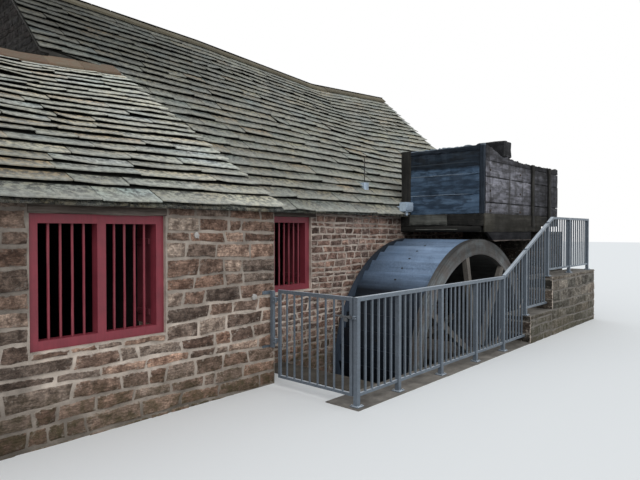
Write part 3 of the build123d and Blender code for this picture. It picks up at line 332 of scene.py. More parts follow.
class Graph:
    """Short ways to add the nodes that the finishes need."""

    def __init__(self, tree: Tree) -> None:
        """Keeps the tree."""
        self.tree = tree

    @classmethod
    def cleared(cls, data: bpy.types.ID) -> "Graph":
        """Graph of a material or a world, with no node left in it.

        Args:
            data: Material or world.

        Returns:
            Its graph.
        """
        data.use_nodes = True
        data.node_tree.nodes.clear()
        return cls(data.node_tree)

    def feed(self, socket: Socket, value: object) -> None:
        """Links a socket to another, or sets its value.

        Args:
            socket: The input.
            value: A socket, a colour or another plain value.
        """
        if isinstance(value, Socket):
            self.tree.links.new(value, socket)
        elif isinstance(value, tuple) and len(value) == 3 and len(getattr(socket, "default_value", ())) == 4:
            socket.default_value = (*value, 1.0)
        else:
            socket.default_value = value

    def node(self, kind: str, feeds: Optional[dict] = None, **settings: object) -> bpy.types.Node:
        """Adds a shader node.

        Args:
            kind: The node's type without its first word.
            feeds: Inputs by name or number.
            settings: The node's own properties.

        Returns:
            The node.
        """
        made = self.tree.nodes.new("ShaderNode" + kind)
        for name, value in settings.items():
            setattr(made, name, value)
        for name, value in (feeds or {}).items():
            self.feed(made.inputs[name], value)
        return made

    def out(self, kind: str, feeds: Optional[dict] = None, **settings: object) -> Socket:
        """First output of a new node."""
        return self.node(kind, feeds, **settings).outputs[0]

    def math(self, operation: str, a: object, b: object = 0.0) -> Socket:
        """One sum on two values."""
        return self.out("Math", {0: a, 1: b}, operation=operation)

    def times(self, a: object, b: object) -> Socket:
        """Product of two values."""
        return self.math("MULTIPLY", a, b)

    def blend(self, share: object, a: object, b: object, mode: str = "MIX") -> Socket:
        """Mixes two colours."""
        return self.node("Mix", {0: share, 6: a, 7: b}, data_type="RGBA", blend_type=mode).outputs[2]

    def tint(self, colour: object, factor: object) -> Socket:
        """A colour times another one, or times a value.

        Args:
            colour: The colour.
            factor: The other colour, or the value.

        Returns:
            The product.
        """
        if isinstance(factor, Socket) and factor.type == "VALUE":
            factor = self.out("CombineXYZ", {0: factor, 1: factor, 2: factor})
        return self.blend(1.0, colour, factor, "MULTIPLY")

    def cover(self, colour: object, mask: object, share: float, other: object) -> Socket:
        """Lays another colour over one, by a mask times a share."""
        return self.blend(self.times(mask, share), colour, other)

    def dapple(self, colour: object, mask: object, share: float, factor: object) -> Socket:
        """Lays a colour times a factor over itself, by a mask times a share."""
        return self.cover(colour, mask, share, self.tint(colour, factor))

    def noise(self, vector: object, scale: object, detail: float = 5.0, rough: float = 0.55) -> Socket:
        """Cloudy value about 0.5."""
        return self.out("TexNoise", {"Vector": vector, "Scale": scale, "Detail": detail, "Roughness": rough})

    def spread(self, value: object, low: object, high: object, start: float = 0.0,
               end: float = 1.0) -> Socket:
        """Stretches values from low and high to start and end, and holds them there."""
        return self.out("MapRange", {"Value": value, "From Min": low, "From Max": high, "To Min": start,
                                     "To Max": end})

    def ramp(self, value: object, colours: Sequence[Colour],
             places: Sequence[float] = (0.0, 0.5, 1.0)) -> Socket:
        """Colour by value, between colours at places.

        Args:
            value: The value.
            colours: Colours in order.
            places: Place of each colour.

        Returns:
            The colour.
        """
        made = self.node("ValToRGB", {0: value})
        elements = made.color_ramp.elements
        while len(elements) < len(places):
            elements.new(0.5)
        for element, place, colour in zip(elements, places, colours):
            element.position = place
            element.color = (*colour, 1.0)
        return made.outputs[0]

    def kept(self, name: str, kind: str = "Fac") -> Socket:
        """A value that the mesh keeps at its points."""
        return self.node("Attribute", attribute_name=name).outputs[kind]

    def place(self) -> Socket:
        """The point's place on the object."""
        return self.node("TexCoord").outputs["Object"]

    def parts(self, vector: object) -> bpy.types.NodeOutputs:
        """The three parts of a vector."""
        return self.node("SeparateXYZ", {0: vector}).outputs

    def height(self) -> Socket:
        """Height of the point on the object."""
        return self.parts(self.place())[2]

    def stretched(self, vector: object, scale: Colour) -> Socket:
        """A vector with each part scaled."""
        return self.out("Mapping", {"Vector": vector, "Scale": scale})

    def seen(self) -> Socket:
        """1 for rays that come from the camera, straight or through glass or off a shiny face.

        Returns:
            The value, 0 for all other rays.
        """
        rays = self.node("LightPath").outputs
        clear = self.math("MAXIMUM", rays["Is Glossy Ray"], rays["Is Transmission Ray"])
        return self.math("MAXIMUM", rays["Is Camera Ray"], clear)

    def bump(self, height: object, strength: float, distance: float, normal: object = None) -> Socket:
        """Small relief from a height."""
        feeds = {"Height": height, "Strength": strength, "Distance": distance}
        return self.out("Bump", feeds if normal is None else {**feeds, "Normal": normal})

    def fade(self, colour: Socket, rule: Sequence[float]) -> Socket:
        """Colour times a factor that goes from one value to another between two places along X.

        Args:
            colour: The colour.
            rule: First place, second place, factor before the first, factor after the second, and, where only
                the front is meant, the place along Y behind which nothing changes. Empty for no change.

        Returns:
            The new colour.
        """
        if not rule:
            return colour
        x, y = self.parts(self.place())[:2]
        factor = self.spread(x, *rule[:4])
        if len(rule) > 4:
            factor = self.math("MAXIMUM", self.math("GREATER_THAN", y, rule[4]), factor)
        return self.tint(colour, factor)

    def effect(self, name: str, *values: object) -> bpy.types.NodeOutputs:
        """Places a shared effect and feeds its inputs in order."""
        return self.node("Group", dict(enumerate(values)), node_tree=Effects.get(name)).outputs

    def mottle(self, place: object, scale: float, contrast: float) -> Socket:
        """Mask of cloudy patches."""
        return self.effect("mottle", place, scale, contrast)[0]

    def flecks(self, place: object, scale: float, amount: float) -> Socket:
        """Mask of round flecks."""
        return self.effect("lichen", place, scale, amount)[0]


class Effects:
    """Effects that several finishes share, each one a node group that is built once."""

    built: dict[str, Tree] = {}

    @classmethod
    def get(cls, name: str) -> Tree:
        """Builds the group at its first use.

        Args:
            name: The group's name.

        Returns:
            The node group.
        """
        if name not in cls.built:
            cls.built[name] = getattr(cls, name)()
        return cls.built[name]

    @staticmethod
    def _group(name: str, inputs: dict[str, float], outputs: Sequence[str]) -> tuple:
        """Makes an empty group.

        Args:
            name: The group's name.
            inputs: Names and first values of the inputs after the vector.
            outputs: Names of the outputs.

        Returns:
            Its graph, the sockets that bring its inputs, and the sockets that take its outputs.
        """
        tree = bpy.data.node_groups.new(name, "ShaderNodeTree")
        tree.interface.new_socket("Vector", in_out="INPUT", socket_type="NodeSocketVector")
        for label, start in inputs.items():
            tree.interface.new_socket(label, in_out="INPUT",
                                      socket_type="NodeSocketFloat").default_value = start
        for label in outputs:
            tree.interface.new_socket(label, in_out="OUTPUT", socket_type="NodeSocketFloat")
        return Graph(tree), tree.nodes.new("NodeGroupInput").outputs, tree.nodes.new("NodeGroupOutput").inputs

    @staticmethod
    def mottle() -> Tree:
        """Cloudy patches: noise about its middle, spread to 0 and 1 by a contrast.

        Returns:
            The node group.
        """
        graph, source, sink = Effects._group("mottle", {"Scale": 5.0, "Contrast": 0.15}, ["Mask"])
        low, high = (graph.math(way, 0.5, source[2]) for way in ("SUBTRACT", "ADD"))
        graph.feed(sink[0], graph.spread(graph.noise(source[0], source[1], 7.0, 0.6), low, high))
        return graph.tree

    @staticmethod
    def lichen() -> Tree:
        """Round flecks: cells whose random colour and distance both lie under an amount, with ragged rims.

        Returns:
            The node group.
        """
        graph, source, sink = Effects._group("lichen", {"Scale": 20.0, "Amount": 0.4}, ["Mask"])
        fray = graph.noise(source[0], 60.0, 3.0)
        shift = graph.out("CombineXYZ", {k: graph.times(fray, by) for k, by in enumerate((0.02, 0.03, 0.02))})
        bent = graph.out("VectorMath", {0: source[0], 1: fray, 2: shift}, operation="MULTIPLY_ADD")
        cells = graph.node("TexVoronoi", {"Vector": bent, "Scale": source[1]}).outputs
        chosen = graph.math("LESS_THAN", graph.out("SeparateColor", {0: cells["Color"]}), source[2])
        graph.feed(sink[0], graph.times(chosen, graph.spread(cells["Distance"], 0.22, 0.42, 1.0, 0.0)))
        return graph.tree

    @staticmethod
    def footing() -> Tree:
        """Damp and dirt near the ground: 1 at Low and 0 at High, with a cloudy border.

        Returns:
            The node group.
        """
        graph, source, sink = Effects._group("footing", {"Low": 2.3, "High": 2.9}, ["Mask"])
        cloud = graph.math("SUBTRACT", graph.times(graph.noise(source[0], 2.2), 0.9), 0.45)
        border = graph.math("ADD", graph.parts(source[0])[2], cloud)
        graph.feed(sink[0], graph.spread(border, source[1], source[2], 1.0, 0.0))
        return graph.tree

    @staticmethod
    def fibres() -> Tree:
        """Wood: fine noise drawn out along the first axis, and broader bands of the same kind.

        Returns:
            The node group.
        """
        graph, source, sink = Effects._group("fibres", {}, ["Fine", "Bands"])
        graph.feed(sink[0], graph.noise(graph.stretched(source[0], (3.0, 110.0, 110.0)), 1.0, 5.0, 0.6))
        graph.feed(sink[1], graph.noise(graph.stretched(source[0], (0.9, 16.0, 16.0)), 1.0, 6.0, 0.6))
        return graph.tree


def shade(colour: Colour, factor: float) -> Colour:
    """A colour times a factor."""
    return tuple(min(c * factor, 1.0) for c in colour)


@dataclass(frozen=True)
class Finish:
    """A material round one shader."""

    name: str

    def look(self, graph: Graph, place: Socket) -> dict[str, object]:
        """Works out the shader's inputs.

        Args:
            graph: The material's graph.
            place: The point's place on the object.

        Returns:
            Values or sockets by input.
        """
        raise NotImplementedError

    def material(self) -> Material:
        """Makes the material and feeds its shader.

        Returns:
            The material.
        """
        material = bpy.data.materials.new(self.name)
        graph = Graph.cleared(material)
        shader = graph.node("BsdfPrincipled")
        graph.node("OutputMaterial", {0: shader.outputs[0]})
        for name, value in self.look(graph, graph.place()).items():
            graph.feed(shader.inputs[name], value)
        return material


@dataclass(frozen=True)
class Toned(Finish):
    """A finish whose pieces lie between a dark, a middle and a pale colour."""

    dark: Colour
    middle: Colour
    pale: Colour

    def ramp(self, graph: Graph, value: Socket) -> Socket:
        """Colour by value, from dark to pale."""
        return graph.ramp(value, (self.dark, self.middle, self.pale))


@dataclass(frozen=True)
class Rubble(Toned):
    """Squared sandstone: each stone its own tone and hue, mottled, with lichen above and damp at the foot."""

    warm: Colour = (1.16, 0.95, 0.88)
    cool: Colour = (0.88, 0.98, 1.02)
    lichen: float = 0.10
    damp_top: float = 2.85
    damp: Colour = (0.060, 0.048, 0.032)
    mortar: Colour = (0.56, 0.48, 0.41)
    across: Sequence[float] = ()
    pale_below: float = 3.30
    upper: float = 0.58
    dark_from: float = NEVER

    def look(self, graph: Graph, place: Socket) -> dict[str, object]:
        """Tone and hue by stone, then beds, grain, chips, flecks, smeared mortar with painted shade higher up,
        painted light and shade along X, damp, and painted shade above a height.

        Args:
            graph: Graph of the material.
            place: Place on the object.

        Returns:
            Inputs of the material's shader by name.
        """
        colour = graph.tint(self.ramp(graph, graph.kept("tone")),
                            graph.blend(graph.kept("hue"), self.warm, self.cool))
        cloud = graph.mottle(place, 11.0, 0.10)
        colour = graph.blend(cloud, graph.tint(colour, (1.30, 1.30, 1.30)),
                             graph.tint(colour, (0.50, 0.47, 0.46)))
        beds = graph.mottle(graph.stretched(place, (7.0, 7.0, 42.0)), 1.0, 0.10)
        colour = graph.dapple(colour, beds, 0.5, (0.45, 0.43, 0.42))
        colour = graph.dapple(colour, graph.mottle(place, 55.0, 0.12), 0.55, (2.2, 2.15, 2.1))
        chips = graph.mottle(graph.stretched(place, (26.0, 26.0, 60.0)), 1.0, 0.05)
        colour = graph.dapple(colour, chips, 0.55, (0.42, 0.40, 0.40))
        colour = graph.cover(colour, graph.flecks(place, 16.0, self.lichen), 0.7, (0.36, 0.33, 0.28))
        smear = graph.math("ADD", graph.kept("edge"), graph.noise(place, 30.0, 6.0, 0.6))
        # Smeared mortar, darker higher up as painted shade towards the eaves.
        high = graph.spread(graph.height(), self.pale_below - 0.1, self.pale_below + 0.15)
        bedding = graph.blend(high, self.mortar, shade(self.mortar, self.upper))
        colour = graph.cover(colour, graph.spread(smear, 0.95, 1.13), 0.85, bedding)
        # Painted light and shade along X, by the across rule.
        colour = graph.fade(colour, self.across)
        damp = graph.effect("footing", place, self.damp_top - 0.55, self.damp_top)[0]
        colour = graph.cover(colour, damp, 0.58, graph.blend(cloud, self.damp, (0.075, 0.070, 0.030)))
        # Painted shade: stones above a height are darkened as a wall that lies in shadow.
        if self.dark_from < NEVER:
            rise = graph.math("ADD", graph.height(), graph.times(graph.noise(place, 1.5), 0.9))
            upper_shade = graph.spread(rise, self.dark_from + 0.2, self.dark_from + 0.8)
            colour = graph.dapple(colour, upper_shade, 1.0, (0.072, 0.078, 0.086))
        rough = graph.math("ADD", graph.noise(place, 24.0, 10.0, 0.68), graph.times(beds, -0.25))
        pits = graph.bump(graph.noise(place, 130.0, 4.0, 0.6), 0.35, 0.004, graph.bump(rough, 0.9, 0.024))
        return {"Base Color": colour, "Roughness": graph.spread(cloud, 0.0, 1.0, 0.78, 0.95),
                "Specular IOR Level": 0.22, "Normal": pits}


@dataclass(frozen=True)
class Mortar(Finish):
    """Pale lime mortar, gritty, dark where it is damp near the ground, and darker towards the eaves as painted
    shade.
    """

    colour: Colour
    damp_top: float = 2.85
    dark_from: float = NEVER
    damp: Colour = (0.055, 0.046, 0.034)
    across: Sequence[float] = ()
    pale_below: float = 3.30
    upper: float = 0.58

    def look(self, graph: Graph, place: Socket) -> dict[str, object]:
        """Clouds and grit, darker higher up as painted shade, damp at the foot, painted light and shade along
        X, and black above a height as painted shade.

        Args:
            graph: Graph of the material.
            place: Place on the object.

        Returns:
            Inputs of the material's shader by name.
        """
        colour = graph.blend(graph.mottle(place, 5.0, 0.16), shade(self.colour, 0.55),
                             shade(self.colour, 1.25))
        height = graph.height()
        # Painted shade: the mortar darkens higher up, towards the eaves.
        colour = graph.tint(colour, graph.spread(height, self.pale_below - 0.1, self.pale_below + 0.15, 1.0,
                                                 self.upper))
        colour = graph.cover(colour, graph.mottle(place, 160.0, 0.22), 0.35, shade(self.colour, 0.5))
        damp = graph.effect("footing", place, self.damp_top - 0.6, self.damp_top)[0]
        # Damp at the foot, then painted light and shade along X by the across rule.
        colour = graph.fade(graph.cover(colour, damp, 0.78, self.damp), self.across)
        # Painted shade: black above a height, where the wall lies in shadow.
        above = graph.spread(height, self.dark_from - 0.06, self.dark_from + 0.06)
        lumps = graph.bump(graph.noise(place, 34.0, 8.0, 0.65), 0.7, 0.014)
        return {"Base Color": graph.blend(above, colour, (0.022, 0.020, 0.017)), "Roughness": 0.94,
                "Specular IOR Level": 0.22, "Normal": graph.bump(graph.noise(place, 260.0, 3.0), 0.3, 0.003,
                                                                 lumps)}


@dataclass(frozen=True)
class Slate(Toned):
    """Stone slates: grey to green-grey by slate, blotched, flecked with lichen, with a painted highlight along
    the tails and painted shade under them.
    """

    rust: Colour = (0.185, 0.135, 0.085)
    flecks: float = 0.38
    low_z: float = 4.2
    high_z: float = 6.4
    high_factor: float = 0.85
    across: Sequence[float] = ()
    dusk: Sequence[float] = (NEVER, NEVER + 1, 1.0, 0.0, 0.0)

    def look(self, graph: Graph, place: Socket) -> dict[str, object]:
        """Tone and hue by slate, then patches, clouds, grit, lichen, a painted highlight on the lips, painted
        light and shade by height, along X and in one corner, and painted shade in the gaps.

        Args:
            graph: Graph of the material.
            place: Place on the object.

        Returns:
            Inputs of the material's shader by name.
        """
        hues = ((0.80, 0.96, 1.12), (0.97, 1.0, 1.04), (1.04, 1.02, 0.94), (1.12, 1.0, 0.86),
                (1.42, 1.0, 0.70))
        hue = graph.ramp(graph.kept("hue"), hues, (0.0, 0.35, 0.7, 0.92, 1.0))
        colour = graph.tint(self.ramp(graph, graph.kept("tone")), hue)
        colour = graph.cover(colour, graph.mottle(place, 2.6, 0.08), 0.26, self.rust)
        colour = graph.dapple(colour, graph.mottle(place, 1.4, 0.10), 0.5, (1.02, 1.06, 0.80))
        cloud = graph.mottle(place, 19.0, 0.07)
        colour = graph.blend(cloud, graph.tint(colour, (0.27, 0.28, 0.30)),
                             graph.tint(colour, (1.95, 1.93, 1.86)))
        colour = graph.dapple(colour, graph.mottle(place, 62.0, 0.12), 0.5, (2.1, 2.1, 2.05))
        colour = graph.cover(colour, graph.flecks(place, 13.0, self.flecks), 0.7, (0.46, 0.47, 0.44))
        colour = graph.cover(colour, graph.flecks(place, 38.0, self.flecks), 0.6, (0.56, 0.57, 0.54))
        # Painted highlight: the tails' lips are paler, as where light catches them.
        lip = graph.times(graph.kept("edge"), graph.noise(place, 20.0, 4.0))
        colour = graph.cover(colour, lip, 1.1, (0.46, 0.46, 0.41))
        # Painted light and shade: a factor by height, darker in the upper corner set by dusk, and a factor
        # along X.
        x, _, z = graph.parts(place)
        high, far, near, end, depth = self.dusk
        corner = graph.times(graph.spread(z, high, far), graph.spread(x, near, end))
        light = graph.times(graph.spread(z, self.low_z, self.high_z, 1.0, self.high_factor),
                            graph.math("SUBTRACT", 1.0, graph.times(corner, depth)))
        colour = graph.fade(graph.tint(colour, light), self.across)
        # Painted shade in the gaps under the tails, where the value gap is high.
        colour = graph.blend(graph.spread(graph.kept("gap"), 0.15, 0.80), colour, (0.012, 0.012, 0.010))
        relief = graph.bump(graph.noise(graph.stretched(place, (1.0, 1.0, 2.0)), 16.0, 9.0, 0.66), 0.8, 0.028)
        return {"Base Color": colour, "Roughness": graph.spread(cloud, 0.0, 1.0, 0.72, 0.95),
                "Specular IOR Level": 0.12, "Normal": graph.bump(graph.noise(place, 120.0, 4.0), 0.3, 0.004,
                                                                 relief)}


@dataclass(frozen=True)
class PlainStone(Finish):
    """Sawn or worn stone in large pieces: blotched, with flecks and a gritty face."""

    colour: Colour
    blotch: Colour
    flecks: float = 0.25

    def look(self, graph: Graph, place: Socket) -> dict[str, object]:
        """Blotches, tone by stone, grain and flecks.

        Args:
            graph: Graph of the material.
            place: Place on the object.

        Returns:
            Inputs of the material's shader by name.
        """
        colour = graph.blend(graph.mottle(place, 6.0, 0.16), self.colour, self.blotch)
        colour = graph.tint(colour, graph.spread(graph.kept("tone"), 0.0, 1.0, 0.7, 1.25))
        colour = graph.cover(colour, graph.mottle(place, 60.0, 0.2), 0.4, shade(self.blotch, 1.5))
        colour = graph.cover(colour, graph.flecks(place, 18.0, self.flecks), 0.5, (0.34, 0.32, 0.25))
        relief = graph.bump(graph.noise(place, 22.0, 9.0, 0.66), 0.6, 0.014)
        return {"Base Color": colour, "Roughness": 0.9,
                "Normal": graph.bump(graph.noise(place, 150.0, 3.0), 0.3, 0.003, relief)}


@dataclass(frozen=True)
class Weathered(Toned):
    """Bare timber with grain along the board, stains, checks and pale worn streaks."""

    stain: Colour = (0.020, 0.020, 0.018)
    stains: float = 0.5
    streak: float = 0.4
    down: float = 0.0
    roughness: float = 0.82
    grain: str = "grain"
    cracks: Sequence[float] = ()
    crack: Colour = (0.010, 0.010, 0.010)
    crack_width: float = 0.010
    patches: float = 0.0
    dark_above: float = NEVER
    above: float = 0.3
    across: Sequence[float] = ()

    def look(self, graph: Graph, place: Socket) -> dict[str, object]:
        """Bands and fibres of the grain, checks, streaks, stains, runs, bare patches, cracks, a dark head.

        Args:
            graph: Graph of the material.
            place: Place on the object.

        Returns:
            Inputs of the material's shader by name.
        """
        fine, bands = graph.effect("fibres", graph.kept(self.grain, "Vector") if self.grain else place)
        colour = self.ramp(graph, graph.spread(bands, 0.3, 0.72))
        colour = graph.tint(colour, graph.spread(graph.kept("tone"), 0.0, 1.0, 0.78, 1.2))
        colour = graph.cover(colour, graph.spread(fine, 0.36, 0.44, 1.0, 0.0), 0.55, self.stain)
        colour = graph.cover(colour, graph.spread(fine, 0.58, 0.70), self.streak, shade(self.pale, 1.5))
        cloud = graph.mottle(place, 3.2, 0.12)
        colour = graph.cover(colour, cloud, self.stains, self.stain)
        if self.down:
            runs = graph.noise(graph.stretched(place, (9.0, 9.0, 0.8)), 1.0, 6.0, 0.62)
            colour = graph.cover(colour, graph.spread(runs, 0.52, 0.66), self.down, self.stain)
        if self.patches:
            bare = graph.mottle(graph.stretched(place, (5.0, 3.2, 13.0)), 1.0, 0.06)
            colour = graph.cover(colour, bare, self.patches, self.stain)
        for height in self.cracks:
            away = graph.math("ABSOLUTE", graph.math("SUBTRACT", graph.height(), height))
            broken = graph.spread(graph.noise(graph.stretched(place, (3.0, 3.0, 0.2)), 1.0), 0.36, 0.50)
            line = graph.spread(away, self.crack_width * 0.4, self.crack_width, 0.9, 0.0)
            colour = graph.blend(graph.times(line, broken), colour, self.crack)
        if self.dark_above < NEVER:
            rise = graph.math("ADD", graph.height(), graph.times(graph.noise(place, 6.0), 0.08))
            top = graph.spread(rise, self.dark_above + 0.02, self.dark_above + 0.06)
            colour = graph.dapple(colour, top, 1.0, (self.above,) * 3)
        return {"Base Color": graph.fade(colour, self.across), "Specular IOR Level": 0.18,
                "Roughness": graph.spread(cloud, 0.0, 1.0, self.roughness - 0.1, self.roughness + 0.08),
                "Normal": graph.bump(bands, 0.4, 0.008, graph.bump(fine, 0.55, 0.004))}


@dataclass(frozen=True)
class WheelTimber(Toned):
    """Timber of the wheel: its grain follows the rim, runs along the axle, or runs out from the hub."""

    centre: Point
    radius: float
    order: str = "turn axle away"
    boards: int = 0
    start: float = 0.0
    roughness: float = 0.6
    stain: Colour = (0.03, 0.03, 0.028)
    heights: Sequence[Span] = ()
    outer: float = 1.0
    rear_shaded: bool = False
    rust: float = 0.0
    rear_dim: float = 1.0

    def look(self, graph: Graph, place: Socket) -> dict[str, object]:
        """Grain on three axes: angle times radius, place along the axle, and distance from it.

        Args:
            graph: Graph of the material.
            place: Place on the object.

        Returns:
            Inputs of the material's shader by name.
        """
        place = graph.out("VectorMath", {0: place, 1: (self.centre[0], 0.0, self.centre[2])},
                          operation="SUBTRACT")
        x, y, z = graph.parts(place)
        angle = graph.math("ARCTAN2", z, x)
        away = graph.math("SQRT", graph.math("ADD", graph.times(x, x), graph.times(z, z)))
        axes = {"turn": graph.times(angle, self.radius), "axle": y, "away": away}
        vector = graph.out("CombineXYZ", {k: axes[name] for k, name in enumerate(self.order.split())})
        fine, bands = graph.effect("fibres", vector)
        colour = self.ramp(graph, graph.spread(bands, 0.3, 0.72))
        if self.boards:
            share = graph.math("DIVIDE", graph.math("SUBTRACT", angle, self.start), 2 * math.pi / self.boards)
            random = graph.out("TexWhiteNoise", {"W": graph.math("FLOOR", share)}, noise_dimensions="1D")
            colour = graph.tint(colour, graph.spread(random, 0.0, 1.0, 0.74, 1.22))
        cloud = graph.mottle(place, 2.6, 0.14)
        colour = graph.cover(colour, cloud, 0.4, self.stain)
        colour = graph.cover(colour, graph.mottle(place, 38.0, 0.16), 0.22, shade(self.pale, 1.35))
        if self.rust:
            colour = graph.cover(colour, graph.mottle(place, 6.0, 0.08), self.rust, (0.130, 0.068, 0.036))
        if self.outer < 1.0:
            edge = graph.math("GREATER_THAN", away, self.radius - 0.012)
            colour = graph.dapple(colour, edge, 1.0, (self.outer,) * 3)
        middle = self.centre[1]
        # Painted shade: darker towards the rear along the axle.
        if self.rear_dim < 1.0:
            colour = graph.tint(colour, graph.spread(y, middle - 0.2, middle + 0.6, 1.0, self.rear_dim))
        # Painted shade: the rear half takes one dark blue-grey, as in shadow.
        if self.rear_shaded:
            colour = graph.blend(graph.math("GREATER_THAN", y, middle), colour, (0.034, 0.048, 0.070))
        # Colour times a factor by height above the axle between the listed heights; on the bucket boards it is
        # painted shade low down, partly wetness, and painted light near the top.
        for k, ((z0, f0), (z1, f1)) in enumerate(zip(self.heights, self.heights[1:])):
            colour = graph.tint(colour, graph.spread(z, z0, z1, 1.0 if k else f0, f1 / f0 if k else f1))
        return {"Base Color": colour, "Specular IOR Level": 0.3,
                "Roughness": graph.spread(cloud, 0.0, 1.0, self.roughness - 0.12, self.roughness + 0.12),
                "Normal": graph.bump(bands, 0.25, 0.005, graph.bump(fine, 0.3, 0.003))}


@dataclass(frozen=True)
class Paint(Finish):
    """Brushed paint on timber, with brush marks, grime and rubbed places."""

    colour: Colour
    rubbed: Colour

    def look(self, graph: Graph, place: Socket) -> dict[str, object]:
        """Clouds, brush marks and rubbed spots.

        Args:
            graph: Graph of the material.
            place: Place on the object.

        Returns:
            Inputs of the material's shader by name.
        """
        cloud = graph.mottle(place, 5.0, 0.2)
        colour = graph.blend(cloud, shade(self.colour, 0.78), shade(self.colour, 1.12))
        brush = graph.noise(graph.stretched(place, (70.0, 70.0, 4.0)), 1.0, 4.0)
        colour = graph.cover(colour, graph.spread(brush, 0.45, 0.7), 0.35, shade(self.colour, 0.6))
        colour = graph.cover(colour, graph.flecks(place, 26.0, 0.10), 0.35, self.rubbed)
        return {"Base Color": colour, "Roughness": graph.spread(cloud, 0.0, 1.0, 0.42, 0.62),
                "Normal": graph.bump(brush, 0.25, 0.002)}


@dataclass(frozen=True)
class Steel(Finish):
    """Dull galvanised or rusted metal: cloudy zinc with a spangle, or scale with rust."""

    colour: Colour
    stain: Colour
    stains: float = 0.3
    metallic: float = 0.55
    roughness: float = 0.46
    sky: float = 0.0

    def look(self, graph: Graph, place: Socket) -> dict[str, object]:
        """Spangle, stains, and a painted sky reflection on faces that look up.

        Args:
            graph: Graph of the material.
            place: Place on the object.

        Returns:
            Inputs of the material's shader by name.
        """
        cells = graph.node("TexVoronoi", {"Vector": place, "Scale": 70.0}).outputs["Color"]
        colour = graph.blend(graph.out("SeparateColor", {0: cells}), shade(self.colour, 0.86),
                             shade(self.colour, 1.12))
        cloud = graph.mottle(place, 4.0, 0.16)
        colour = graph.cover(colour, cloud, self.stains, self.stain)
        # Painted reflection: faces that look up turn pale, as if they mirrored the sky.
        if self.sky:
            up = graph.parts(graph.node("NewGeometry").outputs["Normal"])[2]
            colour = graph.blend(graph.spread(up, 0.4, 0.7, 0.0, self.sky), colour, (0.60, 0.66, 0.72))
        return {"Base Color": colour, "Metallic": self.metallic,
                "Roughness": graph.spread(cloud, 0.0, 1.0, self.roughness - 0.08, self.roughness + 0.14),
                "Normal": graph.bump(graph.noise(place, 90.0, 4.0), 0.2, 0.002)}


# Pieces


def put(name: str, shape: Shape, material: Material, slot: Slot, *replaces: str, body: Body = Body.MILL,
        smooth: bool = True) -> None:
    """Makes a piece of the object from a shape.

    Args:
        name: The piece's name.
        shape: Its surface, in place.
        material: Its finish.
        slot: The record's slot; not used.
        replaces: Nodes of the frame that it stands for.
        body: The body that it moves with.
        smooth: Whether its shallow edges are shaded smooth.
    """
    mesh = bpy.data.meshes.new(name)
    mesh.vertices.add(len(shape.points))
    mesh.vertices.foreach_set("co", shape.points.astype(np.float32).ravel())
    corners = np.concatenate([block.ravel() for block in shape.faces])
    sizes = np.concatenate([np.full(len(block), block.shape[1]) for block in shape.faces])
    mesh.loops.add(len(corners))
    mesh.loops.foreach_set("vertex_index", corners.astype(np.int32))
    mesh.polygons.add(len(sizes))
    mesh.polygons.foreach_set("loop_start", (np.cumsum(sizes) - sizes).astype(np.int32))
    mesh.update(calc_edges=True)
    for key, values in shape.values.items():
        kind, part = ("FLOAT_VECTOR", "vector") if values.ndim == 2 else ("FLOAT", "value")
        mesh.attributes.new(key, kind, "POINT").data.foreach_set(part, values.astype(np.float32).ravel())
    if smooth:
        mesh.polygons.foreach_set("use_smooth", np.ones(len(sizes), bool))
        mesh.set_sharp_from_angle(angle=SMOOTH_BELOW)
    mesh.validate()
    mesh.materials.append(material)
    piece = bpy.data.objects.new(name, mesh)
    bpy.context.scene.collection.objects.link(piece)
    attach(piece, body.value)
    if replaces:
        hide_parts(*replaces)
    LOG.info("%s: %d points, %d faces", name, len(shape.points), len(sizes))


def dress(material: Material, *nodes: str) -> None:
    """Gives nodes of the frame a finish.

    Args:
        material: The finish.
        nodes: Names of the nodes.
    """
    for node in nodes:
        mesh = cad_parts[node].data
        mesh.materials.clear()
        mesh.materials.append(material)


def box_of(node: str) -> Box:
    """Lowest and highest corner of a node of the frame."""
    return tuple(np.array(corner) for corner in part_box(node))


def node_points(node: str) -> np.ndarray:
    """The points of a node of the frame.

    Args:
        node: Name of the node.

    Returns:
        Array of points by 3.
    """
    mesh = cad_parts[node].data
    points = np.zeros(len(mesh.vertices) * 3)
    mesh.vertices.foreach_get("co", points)
    return points.reshape(-1, 3)


def heads(points: np.ndarray) -> tuple[np.ndarray, np.ndarray]:
    """Highest Z at each place along X of some points: the places, and the heights."""
    places = np.unique(points[:, 0].round(4))
    return places, np.array([points[abs(points[:, 0] - x) < 1e-3][:, 2].max() for x in places])


def recessed(node: str, depth: float) -> Shape:
    """The surface of a node whose front lies back: no point is nearer than its lowest Y plus the depth.

    Args:
        node: Name of the node.
        depth: Way that the front lies back.

    Returns:
        The surface, in triangles.
    """
    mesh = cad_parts[node].data
    points = node_points(node)
    points[:, 1] = np.maximum(points[:, 1], points[:, 1].min() + depth)
    mesh.calc_loop_triangles()
    triangles = np.zeros(len(mesh.loop_triangles) * 3, np.int32)
    mesh.loop_triangles.foreach_get("vertices", triangles)
    return Shape(points, [triangles.reshape(-1, 3)])


def islands(node: str) -> list[Box]:
    """Corners of each separate solid of a node, in order of X.

    Args:
        node: Name of the node.

    Returns:
        Lowest and highest corner of each solid.
    """
    keys, merged = np.unique(node_points(node).round(5), axis=0, return_inverse=True)
    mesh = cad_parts[node].data
    edges = np.zeros(len(mesh.edges) * 2, np.int32)
    mesh.edges.foreach_get("vertices", edges)
    pairs = merged.ravel()[edges.reshape(-1, 2)].T
    labels, before = np.arange(len(keys)), np.zeros(0)
    while not np.array_equal(before, labels):
        before = labels.copy()
        for a, b in (pairs, pairs[::-1]):
            np.minimum.at(labels, a, labels[b])
    found = [keys[labels == label] for label in np.unique(labels)]
    return sorted(((p.min(axis=0), p.max(axis=0)) for p in found), key=lambda pair: tuple(pair[0]))


# Places read from the frame


